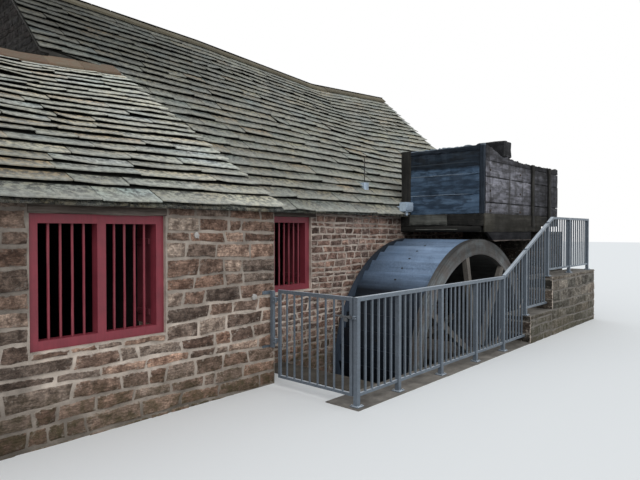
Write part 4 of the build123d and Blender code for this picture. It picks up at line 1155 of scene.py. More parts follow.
def visible_lintel() -> Box:
    """The wing's lintel as far as it shows: the node's box, cut to just past the window's frame.

    Returns:
        Lowest and highest corner.
    """
    lo, hi = islands("window_lintels")[0]
    left, right = (corner.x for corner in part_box("wing_window_frame"))
    return np.array([left - 0.012, lo[1], lo[2]]), np.array([right + 0.014, hi[1], hi[2]])


@dataclass
class Slope:
    """One roof slope: level eaves and a ridge that may sag, with straight lines between."""

    eaves_y: float
    ridge_y: float
    eaves_z: float
    ridge_x: np.ndarray
    ridge_z: np.ndarray

    def ridge(self, x: np.ndarray) -> np.ndarray:
        """Height of the ridge."""
        return np.interp(x, self.ridge_x, self.ridge_z)

    def height(self, x: np.ndarray, y: np.ndarray) -> np.ndarray:
        """Top of the slab: eaves height plus the share of the way up times the rise."""
        share = (y - self.eaves_y) / (self.ridge_y - self.eaves_y)
        return self.eaves_z + (self.ridge(x) - self.eaves_z) * share

    def length(self) -> float:
        """Longest way from the eaves to the ridge."""
        return math.hypot(self.ridge_y - self.eaves_y, self.ridge_z.max() - self.eaves_z)

    def pitch(self) -> float:
        """Greatest rise for each metre of depth."""
        return (self.ridge_z.max() - self.eaves_z) / (self.ridge_y - self.eaves_y)

    def place(self, x: np.ndarray, run: np.ndarray, lift: np.ndarray) -> np.ndarray:
        """Point at x, a share of the way up, lifted square to the slope.

        Args:
            x: Place along the eaves.
            run: Share of the way from eaves to ridge.
            lift: Height above the slab.

        Returns:
            The points.
        """
        depth, rise = self.ridge_y - self.eaves_y, self.ridge(x) - self.eaves_z
        y, z, long = self.eaves_y + depth * run, self.eaves_z + rise * run, np.hypot(depth, rise)
        return np.stack([x + 0 * y, y - lift * rise / long * np.sign(depth), z + lift * abs(depth) / long],
                        axis=-1)

    def gable(self, x: float, start: float) -> Line:
        """Head of a gable under both slopes, less the slab over it, by the way from a start."""
        return lambda y: self.height(0 * y + x, self.ridge_y - abs(y + start - self.ridge_y)) - EAVES_SLAB


class Survey:
    """Places of the frame's nodes that the new pieces are set out from."""

    def __init__(self) -> None:
        """Reads the nodes."""
        self.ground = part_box("pit_left_wall")[1].z
        gable_lo, gable_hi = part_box("wing_left_gable")
        roof_lo, roof_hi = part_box("wing_roof_front")
        self.wing_x, self.wing_y, self.wing_rear_y = gable_lo.x, gable_lo.y, gable_hi.y
        self.wing_verge_x, self.wing_verge_foot_x = roof_lo.x, roof_hi.x
        points = node_points("wing_roof_front")
        self.wing_verge_head_x = points[points[:, 1] > roof_hi.y - 1e-4][:, 0].max()
        self.range_x, self.range_right_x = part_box("range_left_gable")[0].x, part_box("range_right_gable")[1].x
        self.range_y, self.range_rear_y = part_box("range_front_wall")[0].y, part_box("range_rear_wall")[1].y
        places = np.linspace(roof_lo.x, roof_hi.x, 60)
        sag = np.interp(places, [roof_lo.x, roof_lo.x + 2.4, self.range_x + 0.9],
                        [WING_SAG * 0.8, WING_SAG, 0.0])
        ridge = (roof_hi.y, roof_lo.z + ROOF_SLAB, places, roof_hi.z - sag)
        self.wing_front = Slope(roof_lo.y, *ridge)
        self.wing_rear = Slope(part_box("wing_roof_rear")[1].y, *ridge)
        points = node_points("range_roof_rear")
        middle = points[:, 1].min()
        front_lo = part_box("range_roof_front")[0]
        ridge = (middle, front_lo.z + ROOF_SLAB, *heads(points[points[:, 1] < middle + 1e-4]))
        self.range_front = Slope(front_lo.y, *ridge)
        self.range_rear = Slope(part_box("range_roof_rear")[1].y, *ridge)
        self.verge_left_x, self.verge_right_x = self.range_front.ridge_x[[0, -1]]
        self.corner_x, self.start_x = (float(self.verge_x(y)) - 0.02 for y in (self.wing_y, self.range_y))
        bearing_lo, bearing_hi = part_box("shaft_bearings")
        self.niche_x, self.niche_z = (bearing_lo.x + bearing_hi.x) / 2, bearing_lo.z
        self.tank_x = [corner.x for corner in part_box("trough_bearers")]

    def verge_x(self, y: np.ndarray) -> np.ndarray:
        """Skewed right verge of the wing's roof.

        Args:
            y: Places up the slope.

        Returns:
            Place of the verge along X at each of them.
        """
        slope = self.wing_front
        share = (y - slope.eaves_y) / (slope.ridge_y - slope.eaves_y)
        return self.wing_verge_foot_x + (self.wing_verge_head_x - self.wing_verge_foot_x) * share

    def niche(self, start: float) -> Patch:
        """Opening for the shaft's bearing, on a face that starts at a place along X."""
        half, tall = BEARING_NICHE
        return self.niche_x - half - start, self.niche_x + half - start, self.niche_z, self.niche_z + tall


def level(value: object) -> Line:
    """A line at one height, for a number; a line stays as it is."""
    return value if callable(value) else lambda s: np.full_like(np.asarray(s, float), value)


# Masonry


@dataclass(frozen=True)
class Coursing:
    """Sizes of the stones of one wall: in metres, as lowest and highest."""

    height: Span
    width: Span
    deep_height: Span = (0.16, 0.24)
    deep_width: Span = (0.30, 0.60)
    wave: float = 0.015
    joint: float = 0.0055
    inset: float = 0.011
    proud: Span = (0.005, 0.020)
    deep_below: float = 2.15


@dataclass
class WallFace:
    """One face of a wall: a start, a direction along it, the way out, and what limits its stones."""

    start: Point
    along: Point
    out: Point
    length: float
    top: Line
    foot: Line = level(0.0)
    holes: Sequence[Patch] = ()
    reach: Span = (0.0, 0.0)
    blocks: Sequence[Patch] = ()

    @classmethod
    def of(cls, side: Side, outline: Patch, top: object, foot: object = 0.0, **more: object) -> "WallFace":
        """Face on one side of a wall.

        Args:
            side: Way that it looks.
            outline: Lowest and highest X, then lowest and highest Y of the wall.
            top: Line or height of its head.
            foot: Line or height of its foot.
            more: Other fields.

        Returns:
            The face.
        """
        x0, x1, y0, y1 = outline
        length = x1 - x0 if side.value[0][0] else y1 - y0
        start = (x1 if side is Side.RIGHT else x0, y1 if side is Side.REAR else y0, 0)
        return cls(start, *side.value, length, level(top), level(foot), **more)


def varied(made: Shape, count: int, scatter: float, rng: Rng) -> Shape:
    """Gives each of a shape's like pieces a tone about 0.5, and a hue.

    Args:
        made: Shape of like pieces.
        count: Number of pieces.
        scatter: Spread of the tones.
        rng: Source of the draws.

    Returns:
        The same shape, with the values tone and hue.
    """
    each = len(made.points) // count
    made.values["tone"] = np.repeat(np.clip(rng.normal(0.5, scatter, count), 0, 1), each)
    made.values["hue"] = np.repeat(rng.uniform(0, 1, count), each)
    return made


@dataclass
class Stonework:
    """Lays stones course by course over a wall's face."""

    face: WallFace
    coursing: Coursing
    rng: Rng

    def _lines(self) -> np.ndarray:
        """Heights of the course lines.

        Returns:
            The heights, from the foot to past the top.
        """
        span, rule = np.linspace(0, self.face.length, 60), self.coursing
        levels, top = [self.face.foot(span).min()], self.face.top(span).max()
        while levels[-1] < top:
            bounds = rule.deep_height if levels[-1] < rule.deep_below else rule.height
            levels.append(levels[-1] + self.rng.uniform(*bounds))
        return np.array(levels)

    def _wave(self, s: float, k: int) -> float:
        """Slow rise and fall of course line k: two sines of the place along the wall."""
        return self.coursing.wave * (math.sin(1.3 * s + 0.6 * k) + 0.6 * math.sin(3.7 * s + 1.9 * k))

    def cells(self) -> np.ndarray:
        """Corners of every stone's cell.

        Returns:
            Array of cells by 4 corners by 2, counted from the lower left one the way round.
        """
        face, levels, found = self.face, self._lines(), []
        start, end = -face.reach[0], face.length + face.reach[1]
        for k, (low, high) in enumerate(zip(levels, levels[1:])):
            near = [hole for hole in (*face.holes, *face.blocks) if hole[2] < high and hole[3] > low]
            marks = sorted({start, end} | {min(max(s, start), end) for hole in near for s in hole[:2]})
            for a, b in zip(marks, marks[1:]):
                if b - a >= 0.02:
                    for floor, ceiling in self._gaps(near, (a + b) / 2, low, high):
                        found += self._row(a, b, k, levels, floor, ceiling)
        return np.array(found + [[(s0, t0), (s1, t0), (s1, t1), (s0, t1)] for s0, s1, t0, t1 in face.blocks])

    @staticmethod
    def _gaps(holes: Sequence[Patch], middle: float, low: float, high: float) -> list[Span]:
        """Free stretches of a course at one place: floor and ceiling set by the holes, or without limit.

        Args:
            holes: Holes that cut the course.
            middle: The place along the wall.
            low: Lower line of the course.
            high: Upper line of the course.

        Returns:
            Floor and ceiling of each stretch, from the lowest one up.
        """
        stretches, floor = [], -FAR
        for t0, t1 in sorted((t0, t1) for s0, s1, t0, t1 in holes if s0 < middle < s1):
            if t0 - max(floor, low) > 0.03:
                stretches.append((floor, t0))
            floor = max(floor, t1)
        return stretches + ([(floor, FAR)] if high - max(floor, low) > 0.03 else [])

    def _row(self, a: float, b: float, k: int, levels: np.ndarray, floor: float, ceiling: float) -> list:
        """Cells of one course between two places.

        Args:
            a: Start of the stretch.
            b: End of the stretch.
            k: Number of the course.
            levels: Heights of the course lines.
            floor: Height below which nothing goes.
            ceiling: Height above which nothing goes.

        Returns:
            Corners of each cell that is not too thin.
        """
        rule, face, made = self.coursing, self.face, []
        joints = divided(a, b, rule.deep_width if levels[k] < rule.deep_below else rule.width, self.rng)
        slants = self.rng.uniform(-0.018, 0.018, len(joints))
        slants[[0, -1]] = 0
        for i in range(len(joints) - 1):
            corners = []
            for j, line, way in ((i, k, -1), (i + 1, k, -1), (i + 1, k + 1, 1), (i, k + 1, 1)):
                place = joints[j] + way * slants[j]
                t = levels[line] + (self._wave(place, line) if 0 < line < len(levels) - 1 else 0.0)
                t = min(max(t, floor), ceiling)
                inside = np.array([min(max(place, 0.0), face.length)])
                corners.append((place, min(max(t, float(face.foot(inside)[0])), float(face.top(inside)[0]))))
            left, right = corners[3][1] - corners[0][1], corners[2][1] - corners[1][1]
            if max(left, right) > 0.03 and left + right > 0.05:
                made.append(corners)
        return made

    def shape(self) -> Shape:
        """Every stone as a cushion over its cell.

        A stone's grid of six by five points is placed between its cell's corners by the two-way mean, its
        rim sunk in the mortar and its middle standing proud, tilted a little, with cut corners.

        Returns:
            The stones, with the values tone, hue and edge.
        """
        cells, rule, rng = self.cells(), self.coursing, self.rng
        count = len(cells)
        wide = np.maximum(cells[:, 1, 0] - cells[:, 0, 0], 0.02)[:, None]
        tall = np.maximum((cells[:, 3, 1] - cells[:, 0, 1] + cells[:, 2, 1] - cells[:, 1, 1]) / 2, 0.02)[:,
                                                                                                         None]
        edge_a, edge_b = (np.minimum(rule.joint / size, 0.2) for size in (wide, tall))
        in_a, in_b = edge_a + np.minimum(rule.inset / wide, 0.22), edge_b + np.minimum(rule.inset / tall,
                                                                                       0.22)
        third = rng.uniform(0.30, 0.42, (count, 1))
        half = rng.uniform(0.42, 0.58, (count, 1))
        a = np.repeat(np.concatenate([edge_a, in_a, third, 1 - third, 1 - in_a, 1 - edge_a], 1)[:, None, :],
                      5, axis=1)
        b = np.repeat(np.concatenate([edge_b, in_b, half, 1 - in_b, 1 - edge_b], 1)[:, :, None], 6, axis=2)
        trim = rng.uniform(0.15, 0.7, (count, 2, 2))
        for i, row in enumerate((0, 4)):
            for j, column in enumerate((0, 5)):
                a[:, row, column] += (1 - 2 * j) * trim[:, i, j] * (in_a - edge_a)[:, 0]
                b[:, row, column] += (1 - 2 * i) * trim[:, i, j] * (in_b - edge_b)[:, 0]
        weights = np.stack([(1 - a) * (1 - b), a * (1 - b), a * b, (1 - a) * b], axis=-1)
        flat = np.einsum("nijk,nkc->nijc", weights, cells)
        flat += rng.normal(0, 0.0052, flat.shape)
        proud = rng.uniform(*rule.proud, (count, 1, 1))
        rise = np.minimum(np.array([0, 0.62, 1, 0.62, 0])[:, None],
                          np.array([0, 0.62, 1, 1, 0.62, 0])[None, :])
        lift = proud * (rise[None] * (1 + rng.normal(0, 0.24, (count, 5, 6))))
        tilt = rng.normal(0, 0.18, (count, 2))
        lift *= 1 + tilt[:, :1, None] * (a - 0.5) * 2 + tilt[:, 1:, None] * (b - 0.5) * 2
        rim = np.ones((5, 6), bool)
        rim[1:4, 1:5] = False
        lift[:, rim] = -0.010
        start, along, out = (np.array(v, float) for v in (self.face.start, self.face.along, self.face.out))
        points = start + flat[..., :1] * along + flat[..., 1:] * np.array([0, 0, 1]) + lift[..., None] * out
        points = np.maximum(points, [-FAR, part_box("pit_front_wall")[0].y + 0.0005, 0.0005])
        index = np.arange(30).reshape(5, 6)
        quads = np.stack([index[:-1, :-1], index[:-1, 1:], index[1:, 1:], index[1:, :-1]],
                         axis=-1).reshape(-1, 4)
        ring = np.concatenate([index[0, :], index[1:, 5], index[4, 4::-1], index[3:0:-1, 0]])[::-1]
        made = Shape(points.reshape(-1, 3), [copies(part, count, 30)
                                             for part in (quads, ring[None])]).outward()
        made.values["edge"] = np.tile(np.where(rim, 0.85, np.where(rise < 0.7, 0.42, 0.0)).ravel(), count)
        return varied(made, count, 0.24, rng)


@dataclass
class Masonry:
    """All walls: their mortar is the frame's own nodes, and their stones are laid over it."""

    survey: Survey
    reveal: float = 0.013
    coping: Span = (0.8, 0.075)
    splashes: Sequence[Point] = ((-4.84, 3.98, 0.036), (-2.86, 4.02, 0.032), (-2.09, 3.33, 0.030))
    wing_coursing: Coursing = Coursing((0.110, 0.190), (0.15, 0.52), (0.090, 0.175), (0.14, 0.56),
                                       inset=0.014,
                                       proud=(0.004, 0.022), wave=0.020, deep_below=2.95)
    range_coursing: Coursing = Coursing((0.065, 0.120), (0.12, 0.30), joint=0.005, inset=0.009,
                                        proud=(0.004, 0.014), wave=0.011)
    pit_coursing: Coursing = Coursing((0.13, 0.20), (0.24, 0.52), proud=(0.006, 0.014))

    def build(self) -> None:
        """Makes every wall's stones and dresses the mortar."""
        s = self.survey
        # Painted light and shade along X: the wing's front darker towards its left end, the range's front
        # darker where the tank and the wheel shade it and a little brighter left of them, and the upper gable's
        # mortar near black inside the wing.
        left_end_shade = (-4.52, -4.36, 0.66, 1.0, s.wing_y + 0.1)
        wheel_shade = (1.3, 2.1, 1.16, 0.38, s.range_y + 0.1)
        inside = (-FAR, 1 - FAR, 1.0, 0.03, s.wing_rear_y - 0.05)
        self._wing(Rubble("wing_stone", (0.117, 0.086, 0.070), (0.246, 0.182, 0.145), (0.436, 0.335, 0.268),
                          (1.14, 0.95, 0.86), (0.92, 0.98, 1.0), across=left_end_shade,
                          damp=(0.064, 0.042, 0.026)).material())
        self._range(Rubble("range_stone", (0.104, 0.073, 0.062), (0.226, 0.162, 0.137), (0.392, 0.294, 0.243),
                           (1.12, 0.96, 0.88), (0.92, 0.98, 1.0), lichen=0.05, damp_top=2.75, across=wheel_shade,
                           upper=0.8).material(),
                    # A darker copy of the range's stone, darker still above a height: painted shade on the
                    # upper gable.
                    Rubble("upper_gable_stone", (0.080, 0.062, 0.055), (0.170, 0.132, 0.115),
                           (0.290, 0.230, 0.198),
                           lichen=0.02, damp_top=2.95, upper=0.8, dark_from=4.0).material())
        self._pit(Rubble("pit_stone", (0.026, 0.024, 0.020), (0.058, 0.053, 0.044), (0.105, 0.096, 0.078),
                         damp_top=2.3).material(),
                  Rubble("kerb_rubble", (0.075, 0.070, 0.060), (0.150, 0.140, 0.120), (0.245, 0.230, 0.200),
                         (1.06, 0.98, 0.92), (0.96, 1.0, 1.0), damp_top=2.9,
                         mortar=(0.24, 0.22, 0.19)).material())
        mortar = Mortar("wing_mortar", (0.62, 0.53, 0.45), across=left_end_shade).material()
        bed = Mortar("range_mortar", (0.56, 0.47, 0.40), across=wheel_shade, upper=0.8).material()
        # Painted shade on the upper gable's mortar: black above a height, and near black inside the wing.
        dark = Mortar("upper_gable_mortar", (0.50, 0.42, 0.36), dark_from=3.95, across=inside,
                      upper=0.8).material()
        kerb = Mortar("kerb_stone", (0.230, 0.210, 0.185), damp_top=1.9).material()
        dress(mortar, "wing_front_wall", "wing_left_gable", "wing_rear_wall")
        # Painted shadow: the cheek's mortar is black above a height, under the wing's verge.
        dress(Mortar("cheek_mortar", (0.52, 0.44, 0.38), dark_from=s.ground + 1.98).material(),
              "wing_return_wall")
        dress(bed, "range_front_wall", "range_rear_wall", "range_right_gable")
        dress(dark, "range_left_gable")
        dress(Mortar("pit_mortar", (0.100, 0.088, 0.072), damp_top=2.4).material(), "pit_left_wall",
              "trough_pier")
        dress(kerb, "pit_front_wall")
        self._heads(mortar, bed, dark)
        full_lo, full_hi = islands("window_lintels")[0]
        lo, hi = visible_lintel()
        ends = [box_shape(full_lo, (lo[0], *full_hi[1:])), box_shape((hi[0], *full_lo[1:]), full_hi)]
        put("lintel_bedding", join(ends), mortar, Slot.MASONRY)
        self._limewash()
        put("kerb_core", recessed("pit_front_wall", FRONT_RECESS), kerb, Slot.MASONRY, "pit_front_wall",
            smooth=False)

    def _lay(self, name: str, material: Material, coursing: Coursing, seed: int, *faces: WallFace) -> None:
        """Lays one piece's faces."""
        rng = seeded(seed)
        put(name, join([Stonework(face, coursing, rng).shape() for face in faces]), material, Slot.MASONRY)

    def _hole(self, box: Box, start: float, axis: int = 0) -> Patch:
        """A box's outline on a wall's face, a little larger than the box."""
        lo, hi = box[0] - 0.002, box[1] + 0.002
        return lo[axis] - start, hi[axis] - start, lo[2], hi[2]

    def _wing(self, stone: Material) -> None:
        """Stones of the wing's four walls.

        Args:
            stone: The stones' finish.
        """
        s, corner = self.survey, self.survey.corner_x
        under = float(s.wing_front.height(s.wing_verge_x, s.wing_y)) - EAVES_SLAB - 0.012
        holes = [self._hole(box, s.wing_x) for box in (box_of("wing_window_frame"), visible_lintel())]
        front, back = (s.wing_x, corner, s.wing_y, s.wing_rear_y), (s.wing_x, s.range_x, s.wing_y,
                                                                    s.wing_rear_y)
        faces = [("wing_front_stones", WallFace.of(Side.FRONT, front, under, holes=holes,
                                                   reach=(self.reveal, 0.006))),
                 ("wing_gable_stones", WallFace.of(Side.LEFT, back, s.wing_front.gable(s.wing_x, s.wing_y),
                                                   holes=[self._hole(box_of("door_frame"), s.wing_y, 1)],
                                                   reach=(self.reveal, self.reveal))),
                 ("wing_rear_stones", WallFace.of(Side.REAR, back, under, reach=(self.reveal, 0.0)))]
        start = np.array([corner, s.wing_y, 0.0])
        way = np.array([s.start_x, s.range_y, 0.0]) - start
        span = float(np.linalg.norm(way))
        along = way / span
        top = lambda t: s.wing_front.height(0 * t + corner, s.wing_y + t * along[1]) - ROOF_SLAB
        faces.append(("wing_return_stones", WallFace(start, along, (along[1], -along[0], 0), span, top,
                                                     reach=(0.006, -0.004))))
        for seed, (name, face) in enumerate(faces, 11):
            self._lay(name, stone, self.wing_coursing, seed, face)

    def _range(self, stone: Material, dark: Material) -> None:
        """Stones of the range's four walls.

        Args:
            stone: The stones' finish.
            dark: Finish of the upper gable over the wing, darkened as painted shade.
        """
        s, start, both = self.survey, self.survey.start_x, (self.reveal, self.reveal)
        frames, lintels = islands("range_window_frames"), islands("window_lintels")
        at_front = lambda box: box[0][1] < s.range_y + 1.0
        open_ = frames + [box for box in lintels if box[0][0] > start - 0.3]
        holes = [self._hole(box, start) for box in open_ if at_front(box)]
        holes += [self._hole(box, start) for box in islands("trough_cross_beams")] + [s.niche(start)]
        left, right = s.tank_x[0] - BESIDE_TANK, s.tank_x[1] + BESIDE_TANK
        top = lambda x: s.range_front.height(x + start, s.range_y) - np.where(
            (x + start > left) & (x + start < right), ROOF_SLAB, EAVES_SLAB)
        outline = (s.range_x, s.range_right_x, s.range_y, s.range_rear_y)
        rear_holes = [self._hole(box, s.range_x) for box in frames + lintels if not at_front(box)]
        rear_top = lambda x: s.range_rear.height(x + s.range_x, s.range_rear_y) - EAVES_SLAB
        faces = [("range_front_stones", stone, WallFace.of(Side.FRONT, (start, *outline[1:]), top,
                                                           holes=holes,
                                                           reach=(-0.004, self.reveal))),
                 ("range_gable_stones", stone, WallFace.of(
                     Side.RIGHT, outline, s.range_front.gable(s.range_right_x, s.range_y), reach=both)),
                 ("range_rear_stones", stone, WallFace.of(Side.REAR, outline, rear_top, holes=rear_holes,
                                                          reach=both))]
        ridge, eaves = s.wing_rear.ridge_y, s.wing_rear.eaves_y
        foot = lambda y: np.where(y + ridge < eaves, s.wing_rear.height(0 * y + s.range_x, y + ridge), 0.0)
        faces.append(("range_upper_gable_stones", dark, WallFace.of(
            Side.LEFT, (*outline[:2], ridge, s.range_rear_y), s.range_front.gable(s.range_x, ridge), foot,
            reach=(0.0, self.reveal))))
        for seed, (name, material, face) in enumerate(faces, 21):
            self._lay(name, material, self.range_coursing, seed, face)

    def _limewash(self) -> None:
        """Small white splashes on the wing's stones: flat drums whose rims wander."""
        white = PlainStone("limewash", (0.62, 0.60, 0.57), (0.45, 0.42, 0.39), 0.0).material()
        rng, shapes = seeded(35), []
        for x, z, size in self.splashes:
            spot = drum((x, self.survey.wing_y - 0.012, z), 1, (size, size, size * 0.8),
                        (0.002, -0.014, -0.017), 14)
            ring, middle = spot.points.reshape(3, 14, 3), np.array([x, z])
            ring[:, :, [0, 2]] = middle + (ring[:, :, [0, 2]]
                                           - middle) * (1 + rng.normal(0, 0.16, 14))[None, :, None]
            shapes.append(spot)
        put("limewash_splashes", join(shapes), white, Slot.MASONRY)

    @staticmethod
    def _head(slope: Slope, x0: float, x1: float, y0: float, y1: float, into: Span) -> Shape:
        """Strip of bedding from a point to another under a slope, which reaches 30 mm into the wall.

        Args:
            slope: The slope over it.
            x0: First point's X.
            x1: Last point's X.
            y0: First point's Y.
            y1: Last point's Y.
            into: The way into the wall.

        Returns:
            A closed shape.
        """
        count = 12 if y0 == y1 else 6
        x, y = np.linspace(x0, x1, count), np.linspace(y0, y1, count)
        high, low, up = slope.height(x, y), ROOF_SLAB + 0.002, EAVES_SLAB + 0.0005
        return tube(np.stack([np.stack([x + into[0] * d, y + into[1] * d, high - t], axis=-1)
                              for d, t in ((0, low), (0, up), (0.03, up), (0.03, low))], axis=1))

    def _heads(self, wing: Material, bed: Material, dark: Material) -> None:
        """Bedding that fills each wall's head up to the soffit, just outside the slab's stepped underside.

        Args:
            wing: Mortar of the wing.
            bed: Mortar of the range.
            dark: Mortar of the range's upper gable.
        """
        s, (tank0, tank1) = self.survey, self.survey.tank_x
        x, right, top = s.wing_x, s.range_right_x, s.range_front.ridge_y
        y0, y1, z0, z1 = s.wing_y, s.wing_rear_y, s.range_y, s.range_rear_y
        rows = {"wing": (wing, [(s.wing_front, x, s.corner_x, y0, y0, (0, 1)),
                                (s.wing_rear, x, s.range_x, y1, y1, (0, -1)),
                                (s.wing_front, x, x, y0, s.wing_front.ridge_y, (1, 0)),
                                (s.wing_rear, x, x, y1, s.wing_rear.ridge_y, (1, 0))]),
                "range": (bed, [(s.range_front, s.start_x, tank0 - BESIDE_TANK, z0, z0, (0, 1)),
                                (s.range_front, tank1 + BESIDE_TANK, right, z0, z0, (0, 1)),
                                (s.range_rear, s.range_x, right, z1, z1, (0, -1)),
                                (s.range_front, right, right, z0, top, (-1, 0)),
                                (s.range_rear, right, right, z1, top, (-1, 0))]),
                "upper_gable": (dark, [(s.range_front, s.range_x, s.range_x, s.wing_front.ridge_y + 0.05,
                                        top, (1, 0)),
                                       (s.range_rear, s.range_x, s.range_x, z1, top, (1, 0))])}
        for name, (material, strips) in rows.items():
            put(name + "_wall_heads", join([self._head(*strip) for strip in strips]), material, Slot.MASONRY)

    def _pit(self, stone: Material, rubble: Material) -> None:
        """Stones of the pit's walls, the kerb and the pier.

        Args:
            stone: Wet stone of the pit.
            rubble: Dry stone of the kerb's front.
        """
        s = self.survey
        (x0, y0, _), (x1, y1, _) = box_of("pit_front_wall")
        (left0, left_y0, _), (left1, left_y1, _) = box_of("pit_left_wall")
        (pier0, pier_y0, _), (pier1, _, pier_top) = box_of("trough_pier")
        points = node_points("pit_front_wall")
        steps = sorted({round(float(z), 4) for z in points[:, 2] if z > s.ground - 0.001})
        marks = [float(points[abs(points[:, 2] - z) < 1e-3][:, 0].min()) for z in steps]
        marks = [x0, *marks[1:], x1]
        kerb = lambda x: np.select([x + x0 >= marks[2], x + x0 >= marks[1]], [steps[2], steps[1]], steps[0])
        gaps = [s.niche(x0), (left0 - x0, left1 - x0, 0.0, s.ground), (pier0 - x0, pier1 - x0, 0.0, steps[2])]
        whole, left, pier = (x0, x1, y0, y1), (left0, left1, left_y0, left_y1), (pier0, pier1, pier_y0,
                                                                                 pier_y0 + left_y1 - left_y0)
        faces = [WallFace.of(Side.REAR, whole, kerb, holes=gaps), WallFace.of(Side.LEFT, whole, s.ground),
                 WallFace.of(Side.RIGHT, whole, steps[2]),
                 WallFace.of(Side.LEFT, (marks[1], *whole[1:]), steps[1], steps[0]),
                 WallFace.of(Side.LEFT, (marks[2], *whole[1:]), steps[2], steps[1]),
                 WallFace.of(Side.RIGHT, left, s.ground), WallFace.of(Side.LEFT, left, s.ground)]
        self._lay("pit_stones", stone, self.pit_coursing, 31, *faces)
        outer, (long, tall) = [], self.coping
        for a, b, top in zip(marks, marks[1:], steps):
            joints = np.linspace(0, b - a, max(2, round((b - a) / long) + 1))
            outer.append(WallFace.of(Side.FRONT, (a, b, y0 + FRONT_RECESS, y1), top,
                                     blocks=[(s0, s1, top - tall, top)
                                             for s0, s1 in zip(joints, joints[1:])]))
        self._lay("kerb_stones", rubble, self.pit_coursing, 33, *outer)
        self._lay("pier_stones", stone, self.pit_coursing, 32, WallFace.of(Side.LEFT, pier, pier_top),
                  WallFace.of(Side.RIGHT, pier, pier_top), WallFace.of(Side.FRONT, pier, pier_top, steps[2]))


# Roofs


@dataclass(frozen=True)
class SlateRule:
    """Sizes of a slope's slates, as at the eaves and at the ridge, in metres."""

    first: float
    gauge: Span
    width_low: Span
    width_high: Span
    tail_lift: float = 0.058
    head_lift: float = 0.020
    thickness: Span = (0.017, 0.026)
    setback: float = 0.016
    gap: float = 0.004
    overhang: float = 0.025
    ragged: float = 0.009
    lip: float = 0.006


